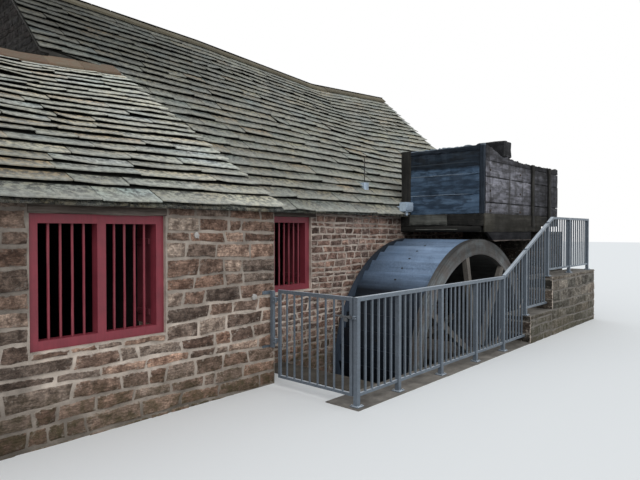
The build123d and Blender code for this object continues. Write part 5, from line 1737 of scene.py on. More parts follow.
@dataclass
class Slating:
    """Lays the slates of one slope."""

    slope: Slope
    rule: SlateRule
    left: Line
    right: Line
    rng: Rng
    limits: Box
    cut: Optional[Point] = None

    def runs(self) -> np.ndarray:
        """Shares of the way up at which the tails lie: a deep first course, then shrinking gauges.

        Returns:
            The shares, from 0 to 1.
        """
        length, first, (low, high) = self.slope.length(), self.rule.first, self.rule.gauge
        count = max(3, round((length - first) / ((low + high) / 2)))
        gauges = low * (high / low) ** (np.arange(count) / (count - 1))
        gauges *= self.rng.uniform(0.90, 1.10, count)
        gauges *= (length - first) / gauges.sum()
        return np.concatenate([[0, first], first + np.cumsum(gauges)]) / length

    def _cells(self) -> np.ndarray:
        """Both ends of each slate's tail and head, both shares of the way up, and 1 in the first course.

        Returns:
            Array of slates by 7.
        """
        runs, rows = self.runs(), []
        for low, high in zip(runs, runs[1:]):
            bounds = [a + (b - a) * low for a, b in zip(self.rule.width_low, self.rule.width_high)]
            x0, x1, top0, top1 = (float(side(np.array(run))) for run in (low, high)
                                  for side in (self.left, self.right))
            joints = divided(x0, x1, bounds, self.rng)
            if self.cut and low < self.cut[2]:
                ends = np.array(self.cut[:2])
                away = abs(joints[:, None] - ends).min(1) > 0.12
                away[[0, -1]] = True
                joints = np.sort(np.concatenate([joints[away], ends]))
            for tail in zip(joints, joints[1:]):
                head = [top0 if tail[0] == x0 else tail[0], top1 if tail[1] == joints[-1] else tail[1]]
                behind = self.cut and self.cut[0] - 0.001 < tail[0] < self.cut[1] - 0.001
                start = max(low, self.cut[2]) if behind else low
                if high - start > 0.004:
                    rows.append((*tail, *head, start, high, float(low == 0)))
        return np.array(rows)

    def shape(self) -> Shape:
        """Every slate as a wedge, its undercut tail raised over the course below.

        Each slate's section has seven points: under the tail, its lip, the place that the next course just
        leaves bare, the one that it just covers, and its head. Its top falls straight from tail to head. Five
        such sections lie between its sides, their tails ragged. The value gap is 1 where no light comes.

        Returns:
            The slates, with the values tone, hue, edge and gap.
        """
        rule, rng, cells, length = self.rule, self.rng, self._cells(), self.slope.length()
        count, columns = len(cells), np.linspace(0, 1, 5)
        gap = rule.gap * rng.uniform(0.3, 1.7, (count, 1))
        tail_x, head_x = (cells[:, k:k + 1] + gap + (cells[:, k + 1:k + 2] - cells[:, k:k + 1] - 2 * gap)
                          * columns
                          for k in (0, 2))
        shift = rng.normal(0, rule.ragged, (count, 1)) + rng.normal(0, rule.ragged * 0.8,
                                                                    (count, 1)) * (columns - 0.5)
        shift = shift + rng.normal(0, rule.ragged * 0.3, (count, 5)) - cells[:, 6:7] * rule.overhang
        shift[:, [0, 4]] += rng.uniform(0, rule.ragged * 2.2, (count, 2))
        tail, bottom = cells[:, 4:5] + shift / length, cells[:, 5:6]
        head = bottom + 0.07 / length + 0 * columns
        lean = rng.normal(0, 0.0055, (count, 1)) * (columns - 0.5) * 2
        thick = rng.uniform(*rule.thickness, (count, 1)) + rng.normal(0, 0.0015, (count, 5))
        fade = np.clip((1.04 - tail) / 0.16, 0.35, 1.0)
        high = (rule.tail_lift + rng.normal(0, 0.0045, (count, 1)) + lean
                + rng.normal(0, 0.0018, (count, 5))) * fade
        low = rule.head_lift * fade
        bare = np.maximum(bottom - 0.016 / length, tail + 0.02 / length)
        covered = np.maximum(bottom + 0.002 / length, bare + 0.004 / length)
        top = lambda run: high + (low - 0.012 - high) * (run - tail) / (head - tail)
        run = np.stack([tail + rule.setback / length, tail, tail + rule.lip / length, bare, covered, head,
                        head], axis=-1)
        lift = np.stack([high - thick, high - 0.010, high, top(bare) + 0.001, top(covered), low - 0.012,
                         low - 0.026],
                        axis=-1)
        share = np.clip((run - tail[..., None]) / (head - tail)[..., None], 0, 1)
        x = tail_x[..., None] * (1 - share) + head_x[..., None] * share
        made = tube(np.clip(self.slope.place(x, run, lift), *self.limits))
        # edge marks the lips, which the finish paints pale as a highlight; gap marks where it paints shade.
        made.values["edge"] = np.tile([0.0, 0.9, 1.0, 0.0, 0.0, 0.0, 0.0], 5 * count)
        made.values["gap"] = np.tile([1.0, 0.25, 0.0, 0.0, 1.0, 1.0, 1.0], 5 * count)
        return varied(made, count, 0.21, rng)


@dataclass
class Ridge:
    """Row of ridge stones, each a bent slab over the two slopes."""

    slope: Slope
    start: float
    end: float
    sides: Span
    rng: Rng
    limits: Box
    span: Span = (0.50, 0.75)
    thickness: float = 0.034
    apex: float = 0.044
    edge: float = 0.052

    def shape(self) -> Shape:
        """Carries a bent section along the ridge: y is the way from the ridge, z falls with the roof's pitch.

        Returns:
            The stones, with the value tone.
        """
        rng, across, stones = self.rng, np.linspace(*self.sides, 9), []
        joints = divided(self.start, self.end, self.span, rng)
        away = abs(across) / abs(across).max()
        outer = self.apex + (self.edge - self.apex) * away
        outer = outer - self.slope.pitch() * (np.sqrt(across**2 + 0.04**2) - 0.04)
        for a, b in zip(joints, joints[1:]):
            gap = rng.uniform(0.001, 0.004)
            x = np.array([a + gap, a + gap + 0.006, (a + b) / 2, b - gap - 0.006, b - gap])
            lift = np.minimum(rng.normal(0, 0.003) + rng.normal(0, 0.004) * np.linspace(-1, 1, 5), 0.0)
            z = np.concatenate([outer, (outer - self.thickness)[::-1]])[None] + (self.slope.ridge(x)
                                                                                 + lift)[:, None]
            z[[0, -1], :9] -= 0.004
            z += rng.normal(0, 0.0012, z.shape)
            y = self.slope.ridge_y + np.concatenate([across, across[::-1]])
            rings = np.stack([np.repeat(x[:, None], 18, 1), np.repeat(y[None], 5, 0), z], axis=-1)
            stones.append(tube(np.clip(rings, *self.limits)).valued(tone=rng.uniform()))
        return join(stones)


@dataclass
class Roofs:
    """Slates and ridge stones of the wing and the range, over the frame's slabs."""

    survey: Survey
    wing_rule: SlateRule = SlateRule(0.265, (0.180, 0.108), (0.46, 0.95), (0.30, 0.62))
    range_rule: SlateRule = SlateRule(0.245, (0.230, 0.158), (0.32, 0.62), (0.24, 0.42), tail_lift=0.054,
                                      thickness=(0.014, 0.022), ragged=0.003)

    def build(self) -> None:
        """Makes the slates, the ridges and the slabs."""
        s = self.survey
        # Both slate finishes paint light and shade: a factor by height, brighter towards the right along X, and
        # the range's upper left corner darker.
        wing = Slate("wing_slates", (0.034, 0.035, 0.034), (0.088, 0.089, 0.083), (0.172, 0.170, 0.158),
                     low_z=s.ground + 2.0, high_z=s.ground + 4.0, high_factor=1.58,
                     across=(-5.4, -2.4, 0.76, 1.22)).material()
        range_ = Slate("range_slates", (0.027, 0.029, 0.027), (0.062, 0.065, 0.058), (0.124, 0.127, 0.112),
                       low_z=s.ground + 3.4, high_z=s.ground + 5.3, high_factor=0.85,
                       across=(-0.5, 4.0, 0.96, 1.16),
                       flecks=0.43, dusk=(s.ground + 3.6, s.ground + 4.6, 0.6, -2.4, 0.58)).material()
        self.limits = (np.array([s.wing_verge_x + 0.001, s.wing_front.eaves_y - 0.2, 0]),
                       np.array([s.verge_right_x - 0.001, s.range_rear.eaves_y - 0.001,
                                 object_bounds()[1].z - 0.001]))
        front, top = s.wing_front, s.range_front
        depth, cover = front.ridge_y - front.eaves_y, top.ridge_y - top.eaves_y

        def verge(run: np.ndarray) -> np.ndarray:
            """The wing's verge where it covers the range's slope, and that slope's own verge above it."""
            y = top.eaves_y + cover * run
            return np.where(y < front.ridge_y, s.verge_x(y) - 0.06, s.verge_left_x)

        cut = (s.tank_x[0] - TANK_GAP, s.tank_x[1] + TANK_GAP, (s.range_y + 0.02 - top.eaves_y) / cover)
        rows = [("wing_front_slates", wing, front, self.wing_rule, s.wing_verge_x,
                 lambda run: s.verge_x(front.eaves_y + depth * run) + 0.02, None),
                ("wing_rear_slates", wing, s.wing_rear, self.wing_rule, s.wing_verge_x, s.range_x - 0.003,
                 None),
                ("range_front_slates", range_, top, self.range_rule, verge, s.verge_right_x, cut),
                ("range_rear_slates", range_, s.range_rear, self.range_rule, s.verge_left_x, s.verge_right_x,
                 None)]
        for seed, (name, material, slope, rule, left, right, gap) in enumerate(rows, 41):
            laid = Slating(slope, rule, level(left), level(right), seeded(seed), self.limits, gap)
            put(name, laid.shape(), material, Slot.SLATES)
        self._undercourses(range_)
        self._ridges()
        self._slabs()

    @staticmethod
    def _panel(slope: Slope, left: object, right: object, y0: float, y1: float, wall_y: float) -> Shape:
        """One stretch of slab: full depth above the wall's face, and thin over the eaves.

        Each section runs down the slope's top and back along its underside, which steps at the wall's face.

        Args:
            slope: The slope.
            left: Left edge, as a place or by y.
            right: Right edge, as a place or by y.
            y0: Lower end.
            y1: Upper end.
            wall_y: Outer face of the wall, or None where the panel overhangs all through.

        Returns:
            A closed shape.
        """
        way = 1.0 if y1 > y0 else -1.0
        under = EAVES_SLAB if wall_y is None else ROOF_SLAB
        y, t = np.array([y0, y1, y1, y0]), np.array([0, 0, under, under])
        if wall_y is not None and way * (wall_y - y0) > 0:
            step = wall_y + way * SLAB_STEP
            y, t = np.array([y0, y1, y1, step, step, y0]), np.array([0, 0, under, under, EAVES_SLAB,
                                                                     EAVES_SLAB])
        first, last = level(left)(y)[None], level(right)(y)[None]
        x = first + (last - first) * np.linspace(0, 1, 13)[:, None]
        y = np.broadcast_to(y, x.shape)
        return tube(np.stack([x, y, slope.height(x, y) - t], axis=-1))

    def _slabs(self) -> None:
        """Boarded slabs under the slates, in the frame's places but thin where they overhang the walls."""
        s = self.survey
        front, rear, wing, back = s.range_front, s.range_rear, s.wing_front, s.wing_rear
        cut0, cut1 = s.tank_x[0] - TANK_GAP, s.tank_x[1] + TANK_GAP
        verge0, verge1, verge2 = s.wing_verge_x, s.verge_left_x, s.verge_right_x
        inner0, inner1, inner2 = s.wing_x + SLAB_STEP, s.range_x + SLAB_STEP, s.range_right_x - SLAB_STEP
        step, top, y = wing.ridge_y, front.ridge_y, s.range_y
        rows = [(wing, verge0, inner0, wing.eaves_y, step, None),
                (wing, inner0, s.verge_x, wing.eaves_y, step, s.wing_y),
                (back, verge0, inner0, back.eaves_y, step, None),
                (back, inner0, s.range_x - 0.001, back.eaves_y, step, s.wing_rear_y),
                (front, lambda y: s.verge_x(y) + 0.001, cut0, front.eaves_y, step, y),
                (front, cut0, cut1, y + SLAB_STEP, step, y), (front, cut1, inner2, front.eaves_y, step, y),
                (front, inner1, inner2, step + 0.0005, top, y),
                (front, verge1, inner1, step + 0.0005, top, None),
                (front, inner2, verge2, front.eaves_y, top, None),
                (rear, inner1, inner2, rear.eaves_y, top, s.range_rear_y),
                (rear, verge1, inner1, rear.eaves_y, top, None),
                (rear, inner2, verge2, rear.eaves_y, top, None)]
        dark = PlainStone("slab_shadow", (0.022, 0.021, 0.018), (0.034, 0.032, 0.027), 0.05).material()
        put("roof_slabs", join([self._panel(*row) for row in rows]), dark, Slot.SLATES,
            "range_roof_front", "range_roof_rear", "wing_roof_front", "wing_roof_rear", smooth=False)

    def _undercourses(self, slate: Material) -> None:
        """Flat slates bedded on the wall heads under each first course.

        Args:
            slate: The slates' finish.
        """
        s, shapes = self.survey, []
        rows = [(s.wing_front, s.wing_verge_x, float(s.verge_x(s.wing_front.eaves_y))),
                (s.range_front, s.corner_x + 0.04, s.tank_x[0] - TANK_GAP),
                (s.range_front, s.tank_x[1] + TANK_GAP, s.verge_right_x),
                (s.range_rear, s.verge_left_x, s.verge_right_x),
                (s.wing_rear, s.wing_verge_x, s.range_x - 0.003)]
        for seed, (slope, x0, x1) in enumerate(rows, 50):
            rng = seeded(seed)
            joints = divided(x0, x1, (0.4, 0.7), rng)
            for a, b in zip(joints, joints[1:]):
                columns = np.linspace(a + 0.003, b - 0.003, 5)[:, None]
                tail = (-0.014 + rng.normal(0, 0.004, (5, 1))) / slope.length()
                run = tail + np.array([0, 0, 0.006, 0.10, 0.10]) / slope.length()
                lift = np.array([-0.014, 0.006, 0.012, 0.012, -0.014]) + rng.normal(0, 0.002, (5, 1))
                points = np.clip(slope.place(columns + 0 * run, run, lift + 0 * run), *self.limits)
                shapes.append(tube(points).valued(tone=rng.uniform(0, 0.5), hue=0.3, edge=0.0, gap=0.0))
        put("eaves_undercourse", join(shapes), slate, Slot.SLATES)

    def _ridges(self) -> None:
        """Ridge stones of both roofs."""
        s, wing = self.survey, ((0.42, 0.62), 0.026, 0.050, 0.060)
        stone = PlainStone("ridge_stones", (0.110, 0.096, 0.064), (0.080, 0.066, 0.040), 0.5).material()
        wing_stone = PlainStone("wing_ridge_stones", (0.112, 0.099, 0.066), (0.125, 0.068, 0.040),
                                0.45).material()
        row = Ridge(s.range_front, s.verge_left_x, s.verge_right_x, (-0.16, 0.16), seeded(61), self.limits)
        full = Ridge(s.wing_front, s.wing_verge_x, s.verge_left_x, (-0.27, 0.27), seeded(62), self.limits,
                     *wing)
        band = Ridge(s.wing_front, s.verge_left_x, s.wing_verge_head_x, (-0.27, 0.0), seeded(63),
                     self.limits, *wing)
        put("range_ridge_stones", row.shape(), stone, Slot.RIDGE, "range_ridge_tiles")
        put("wing_ridge_stones", join([full.shape(), band.shape()]), wing_stone, Slot.RIDGE,
            "wing_ridge_tiles")


# Windows and the door


@dataclass
class Openings:
    """Bars, shutter battens, lintels and the plank door."""

    bar: float = 0.020
    rail: float = 0.080
    bars: int = 4
    range_bars: int = 8
    boards: int = 6

    def build(self) -> None:
        """Makes the pieces and dresses the frames."""
        red = Paint("window_red", (0.232, 0.033, 0.049), (0.34, 0.15, 0.13)).material()
        dull = Paint("shutter_red", (0.130, 0.026, 0.034), (0.20, 0.10, 0.09)).material()
        oak = Weathered("lintel_oak", (0.060, 0.046, 0.038), (0.150, 0.120, 0.102), (0.250, 0.210, 0.180),
                        stains=0.35).material()
        dress(red, "wing_window_frame", "range_window_frames", "door_frame")
        dress(dull, "wing_window_shutter", "range_window_shutters", "door_leaf")
        self._bars(red)
        heads_ = [Timber(lo, hi, 0, 0.002, 0.008, 22)
                  for lo, hi in [visible_lintel()] + islands("window_lintels")[1:]]
        put("window_head_timbers", hewn(seeded(72), *heads_), oak, Slot.LINTEL, "window_lintels")
        self._door(dull)
        self._shutter(dull)

    def _bars(self, paint: Material) -> None:
        """Upright bars of every light.

        Args:
            paint: The bars' finish.
        """
        lo, hi = box_of("wing_window_frame")
        middle, rail, half, timbers = (lo[0] + hi[0]) / 2, self.rail, self.bar / 2, []
        lights = [(a, b, lo, hi, self.bars) for a, b in ((lo[0] + rail, middle - rail / 2),
                                                         (middle + rail / 2, hi[0] - rail))]
        lights += [(a[0] + rail, b[0] - rail, a, b, self.range_bars)
                   for a, b in islands("range_window_frames")]
        for x0, x1, low, high, count in lights:
            y = (low[1] + high[1]) / 2
            for k in range(count):
                x = x0 + (x1 - x0) * (k + 1) / (count + 1)
                timbers.append(Timber((x - half, y - half, low[2] + rail - 0.01),
                                      (x + half, y + half, high[2] - rail + 0.01), 2, 0.0007, 0.004, 10))
        put("window_bars", hewn(seeded(71), *timbers), paint, Slot.PAINT)

    def _door(self, paint: Material) -> None:
        """Upright boards, strap hinges and a ring on the outer face of the door.

        Args:
            paint: The boards' finish.
        """
        (x, y0, z0), (_, y1, z1) = box_of("door_leaf")
        rng, width = seeded(73), (y1 - y0) / self.boards
        boards = [Timber((x - 0.014, y0 + width * k + 0.002, z0 + 0.004),
                         (x + 0.004, y0 + width * (k + 1) - 0.002, z1 - 0.004), 2, 0.0008, 0.004)
                  for k in range(self.boards)]
        put("door_boards", hewn(rng, *boards), paint, Slot.PAINT)
        iron = Steel("door_iron", (0.050, 0.046, 0.043), (0.11, 0.055, 0.03), 0.5, 0.5, 0.62).material()
        levels = (z0 + 0.30, z1 - 0.36)
        shapes = [Timber((x - 0.020, y0 + 0.02, z), (x - 0.013, y0 + 0.62, z + 0.045), 1, 0.0006,
                         0.003).shape(rng)
                  for z in levels]
        shapes += [drum((x - 0.020, y0 + y, z + 0.0225), 0, (0.009, 0.009, 0.005), (0.002, -0.004, -0.007),
                        10)
                   for z in levels for y in (0.07, 0.25, 0.43, 0.58)]
        shapes.append(drum((x - 0.014, y1 - 0.10, z0 + 0.95), 0, (0.035, 0.035, 0.028),
                           (0.0, -0.006, -0.009), 24))
        turn, small = (np.linspace(0, 2 * math.pi, count, endpoint=False) for count in (24, 8))
        away, turn = 0.045 + 0.006 * np.cos(small), turn[:, None]
        loop = np.stack([0.006 * np.sin(small) + 0 * turn, away * np.cos(turn), away * np.sin(turn)], axis=-1)
        index = np.arange(24 * 8).reshape(24, 8)
        up, on = np.roll(index, -1, 1), np.roll(index, -1, 0)
        quads = np.stack([index, up, np.roll(on, -1, 1), on], axis=-1).reshape(-1, 4)
        centre = np.array([x - 0.026, y1 - 0.10, z0 + 0.915])
        shapes.append(Shape(loop.reshape(-1, 3) + centre, [quads]).outward())
        put("door_ironwork", join(shapes), iron, Slot.IRON)

    def _shutter(self, paint: Material) -> None:
        """Battens across the open leaves, on the side that shows through the bars.

        Args:
            paint: The battens' finish.
        """
        timbers = []
        for k, (lo, hi) in enumerate([box_of("wing_window_shutter")] + islands("range_window_shutters")):
            for share in ((0.13, 0.90) if k else (0.12, 0.83)):
                z = lo[2] + (hi[2] - lo[2]) * share
                timbers.append(Timber((lo[0] - 0.016, lo[1] + 0.015, z - 0.028),
                                      (lo[0] + 0.002, hi[1] - 0.015, z + 0.028), 1, 0.0006, 0.004, 8))
        put("shutter_battens", hewn(seeded(74), *timbers), paint, Slot.PAINT)


# Tank over the wheel


@dataclass
class Pentrough:
    """The boarded tank, its bearers and its ironwork."""

    seam: float = 0.004
    end_rises: Sequence[float] = (0.0, 0.300, 0.620)
    side_rises: Sequence[float] = (0.0, 0.175, 0.580, 0.830)

    def build(self) -> None:
        """Makes the boards and timbers and dresses the rest."""
        self.lo, self.hi = box_of("trough_sides")
        self.left, self.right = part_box("trough_frame")[0].x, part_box("trough_bearers")[1].x
        low, high = self.lo[2], self.hi[2]
        blue = Weathered("tank_end_boards", (0.038, 0.066, 0.106), (0.074, 0.122, 0.190),
                         (0.125, 0.190, 0.275),
                         stain=(0.014, 0.023, 0.038), streak=0.40, stains=0.35, roughness=0.62, patches=0.75,
                         cracks=[low + rise + 0.012 for rise in self.end_rises[1:]] + [high - 0.27],
                         crack=(0.19, 0.24, 0.30), crack_width=0.011, dark_above=high - 0.36,
                         above=0.17).material()
        dark = Weathered("tank_top_beam", (0.008, 0.011, 0.016), (0.018, 0.025, 0.036), (0.050, 0.064, 0.085),
                         stain=(0.004, 0.005, 0.007), streak=0.5, stains=0.5, cracks=[high - 0.012],
                         crack=(0.20, 0.24, 0.28), crack_width=0.022).material()
        grey = Weathered("tank_side_boards", (0.070, 0.070, 0.080), (0.200, 0.198, 0.228),
                         (0.350, 0.344, 0.385),
                         stain=(0.030, 0.028, 0.026), streak=0.55, stains=0.50, down=0.85, patches=0.62,
                         cracks=[low + rise for rise in self.side_rises[1:3]], crack_width=0.016,
                         dark_above=low + self.side_rises[3] - 0.02, above=0.34,
                         across=(3.30, 4.15, 1.0, 0.30)).material()
        beam = Weathered("tank_bearers", (0.010, 0.010, 0.009), (0.022, 0.021, 0.019), (0.045, 0.042, 0.036),
                         stain=(0.005, 0.005, 0.005), streak=0.3, stains=0.4).material()
        floor = Weathered("tank_floor", (0.030, 0.030, 0.030), (0.060, 0.060, 0.058), (0.100, 0.098, 0.090),
                          grain="")
        self._boards(blue, grey)
        self._frame(dark, beam)
        self._bearers(beam)
        self._foot(beam)
        self._ironwork(grey)
        dress(floor.material(), "trough_floor")

    def _planks(self, lo: Point, hi: Point, seams: Sequence[float], axis: int, *sizes: float) -> list[Timber]:
        """Planks between seams over one another, each a little less high than the way between two seams.

        Args:
            lo: Lowest corner of the boarding.
            hi: Highest corner of the boarding.
            seams: Heights of the seams.
            axis: The axis that the planks run along.
            sizes: Wander, arris and stations.

        Returns:
            The planks, but none where no height is left.
        """
        return [Timber((*lo[:2], a + self.seam / 2), (*hi[:2], b - self.seam / 2), axis, *sizes)
                for a, b in zip(seams, seams[1:]) if b - a > 0.05]

    def _boards(self, end: Material, side: Material) -> None:
        """Planks across both ends, and along both sides, of which the front one has a broken top edge.

        Args:
            end: Finish of the ends.
            side: Finish of the sides.
        """
        timbers = []
        for lo, hi in islands("trough_ends"):
            seams = [lo[2] + rise for rise in self.end_rises] + [hi[2]]
            timbers += self._planks(lo, hi, seams, 1, 0.0022, 0.007, 30)
        put("tank_end_planks", hewn(seeded(81), *timbers), end, Slot.TROUGH, "trough_ends")
        points = node_points("trough_sides")
        places, tops = heads(points[(points[:, 1] < self.lo[1] + 0.001) & (points[:, 2] > self.lo[2] + 0.3)])
        timbers = []
        for lo, hi in islands("trough_sides"):
            seams = [lo[2] + rise for rise in self.side_rises]
            broken = {}
            if lo[1] < self.lo[1] + 0.01:
                broken = {"top": lambda x: np.interp(x, places, tops), "ragged": 0.028}
            timbers += self._planks(lo, hi, seams, 0, 0.002, 0.006, 40)
            timbers.append(Timber((*lo[:2], seams[-1] + self.seam / 2), hi, 0, 0.002, 0.007, 60, **broken))
        put("tank_side_planks", hewn(seeded(82), *timbers), side, Slot.TROUGH, "trough_sides")

    def _frame(self, blue: Material, beam: Material) -> None:
        """Corner post, back post and top beam of the end, and two posts on the front side.

        Args:
            blue: Finish of the corner post and the top beam.
            beam: Finish of the other posts.
        """
        rng, (lo, hi), (end_lo, end_hi) = seeded(83), box_of("trough_frame"), islands("trough_ends")[0]
        (x, y0, _), (_, y1, z1), z0 = lo, hi, self.lo[2]
        front = Timber((x, self.lo[1], z0), (x + 0.06, end_lo[1], z1), 2, 0.0015, 0.006, 20)
        back = Timber((x, end_hi[1], z0), (x + 0.06, y1, z1), 2, 0.003, 0.010, 20)
        rail = Timber((x, end_lo[1], end_hi[2]), (x + 0.12, end_hi[1], z1), 1, 0.003, 0.012, 40, ragged=0.022)
        sides = [Timber(a, b, 2, 0.0015, 0.005, 16) for a, b in islands("trough_frame") if a[0] > x + 0.5]
        put("tank_end_frame", hewn(rng, front, rail), blue, Slot.TROUGH, "trough_frame")
        put("tank_posts", hewn(rng, back, *sides), beam, Slot.TROUGH)

    def _bearers(self, material: Material) -> None:
        """Rough bearers, cross beams, fascia board and the old sluice timber.

        Args:
            material: Finish of the bearers and the cross beams.
        """
        rng = seeded(84)
        timbers = [Timber(lo, hi, 0, 0.003, 0.012, 30) for lo, hi in islands("trough_bearers")]
        timbers += [Timber(lo, hi, 1, 0.003, 0.012, 18) for lo, hi in islands("trough_cross_beams")]
        put("tank_bearer_beams", hewn(rng, *timbers), material, Slot.TROUGH, "trough_bearers",
            "trough_cross_beams")
        lo, hi = box_of("trough_apron")
        rise = lambda x: np.interp(x, [lo[0], lo[0] + 0.27, hi[0]], [hi[2] - 0.10, lo[2], lo[2]])
        black = Weathered("fascia_timber", (0.004, 0.004, 0.005), (0.009, 0.009, 0.011),
                          (0.022, 0.021, 0.022),
                          stain=(0.003, 0.003, 0.004), cracks=[lo[2] + 0.006], crack=(0.15, 0.125, 0.11),
                          crack_width=0.016).material()
        put("tank_fascia", Timber(lo, hi, 0, 0.002, 0.006, 30, foot=rise).shape(rng), black, Slot.TROUGH,
            "trough_apron")
        lo, hi = box_of("trough_sluice_block")
        block = Timber(lo + np.array([0.26, 0, -0.055]), hi - np.array([0, 0, 0.03]), 0, 0.004, 0.016, 16,
                       ragged=0.02)
        dark = Weathered("sluice_timber", (0.010, 0.010, 0.011), (0.022, 0.022, 0.024), (0.050, 0.050, 0.052),
                         stain=(0.005, 0.005, 0.005)).material()
        put("sluice_timber", block.shape(rng), dark, Slot.TROUGH, "trough_sluice_block")

    def _foot(self, dark: Material) -> None:
        """Board that hides the front bearer, and the planks and the step between the bearers at the end.

        Args:
            dark: Finish of the plank.
        """
        rng, (lo, hi), base = seeded(86), islands("trough_bearers")[0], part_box("trough_cross_beams")[0].z
        face, back, x = self.lo[1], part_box("trough_bearers")[1].y, self.left
        middle, z0, z1 = face * 0.58 + back * 0.42, lo[2] + 0.006, hi[2] - 0.004
        board = Timber((x, face - 0.014, base), (hi[0] - 0.9, face + 0.004, hi[2]), 0, 0.0015, 0.005, 40)
        sill = Timber((x - 0.012, middle, z0), (x + 0.040, back - 0.18, z1), 1, 0.002, 0.008, 20)
        step = Timber((x - 0.020, face + 0.45, base + 0.028), (x + 0.010, back - 0.30, base + 0.045), 1,
                      0.0015, 0.004, 16)
        plank = Timber((x - 0.001, face + 0.06, z0), (x + 0.040, middle - 0.01, z1), 1, 0.002, 0.008, 20)
        foot = Weathered("tank_foot_board", (0.011, 0.010, 0.008), (0.025, 0.023, 0.019),
                         (0.052, 0.047, 0.040),
                         stain=(0.012, 0.011, 0.008), streak=0.35, stains=0.5, down=0.5, patches=0.4,
                         across=(2.05, 2.30, 2.2, 1.0)).material()
        pale = Weathered("tank_sill_board", (0.055, 0.056, 0.049), (0.111, 0.112, 0.099),
                         (0.183, 0.183, 0.160),
                         stain=(0.020, 0.020, 0.018), streak=0.35, stains=0.4).material()
        put("tank_foot_boards", board.shape(rng), foot, Slot.TROUGH)
        put("tank_sill_boards", hewn(rng, sill, step), pale, Slot.TROUGH)
        put("tank_sill_plank", plank.shape(rng), dark, Slot.TROUGH)

    def _ironwork(self, pale: Material) -> None:
        """Bolt heads with washers on the end of the front side, and strips at its corner.

        Args:
            pale: Finish of the strips.
        """
        iron = Steel("tank_iron", (0.045, 0.040, 0.038), (0.09, 0.045, 0.025), 0.5, 0.5, 0.6).material()
        y, (_, _, z0), (_, _, z1) = self.lo[1], self.lo, self.hi
        places = [(x, rise) for rise in (0.105, 0.42, 0.75)
                  for x in (self.left + 0.218, self.left + 1.40, self.right - 0.18) if rise < 0.7
                  or x < self.left + 2]
        bolts = [drum((x, y, z0 + rise - 0.06), 1, (0.022, 0.022, 0.012, 0.012, 0.008),
                      (0.002, -0.004, -0.004, -0.014, -0.017), 12) for x, rise in places]
        put("tank_ironwork", join(bolts), iron, Slot.IRON)
        strips = [Timber((self.left + a, y - 0.006, z0 + 0.002), (self.left + b, y + 0.001, z1 - 0.03), 2,
                         0.0006,
                         0.002, 12) for a, b in ((0.070, 0.098), (0.122, 0.142))]
        put("tank_corner_strips", hewn(seeded(85), *strips), pale, Slot.TROUGH)


# Wheel


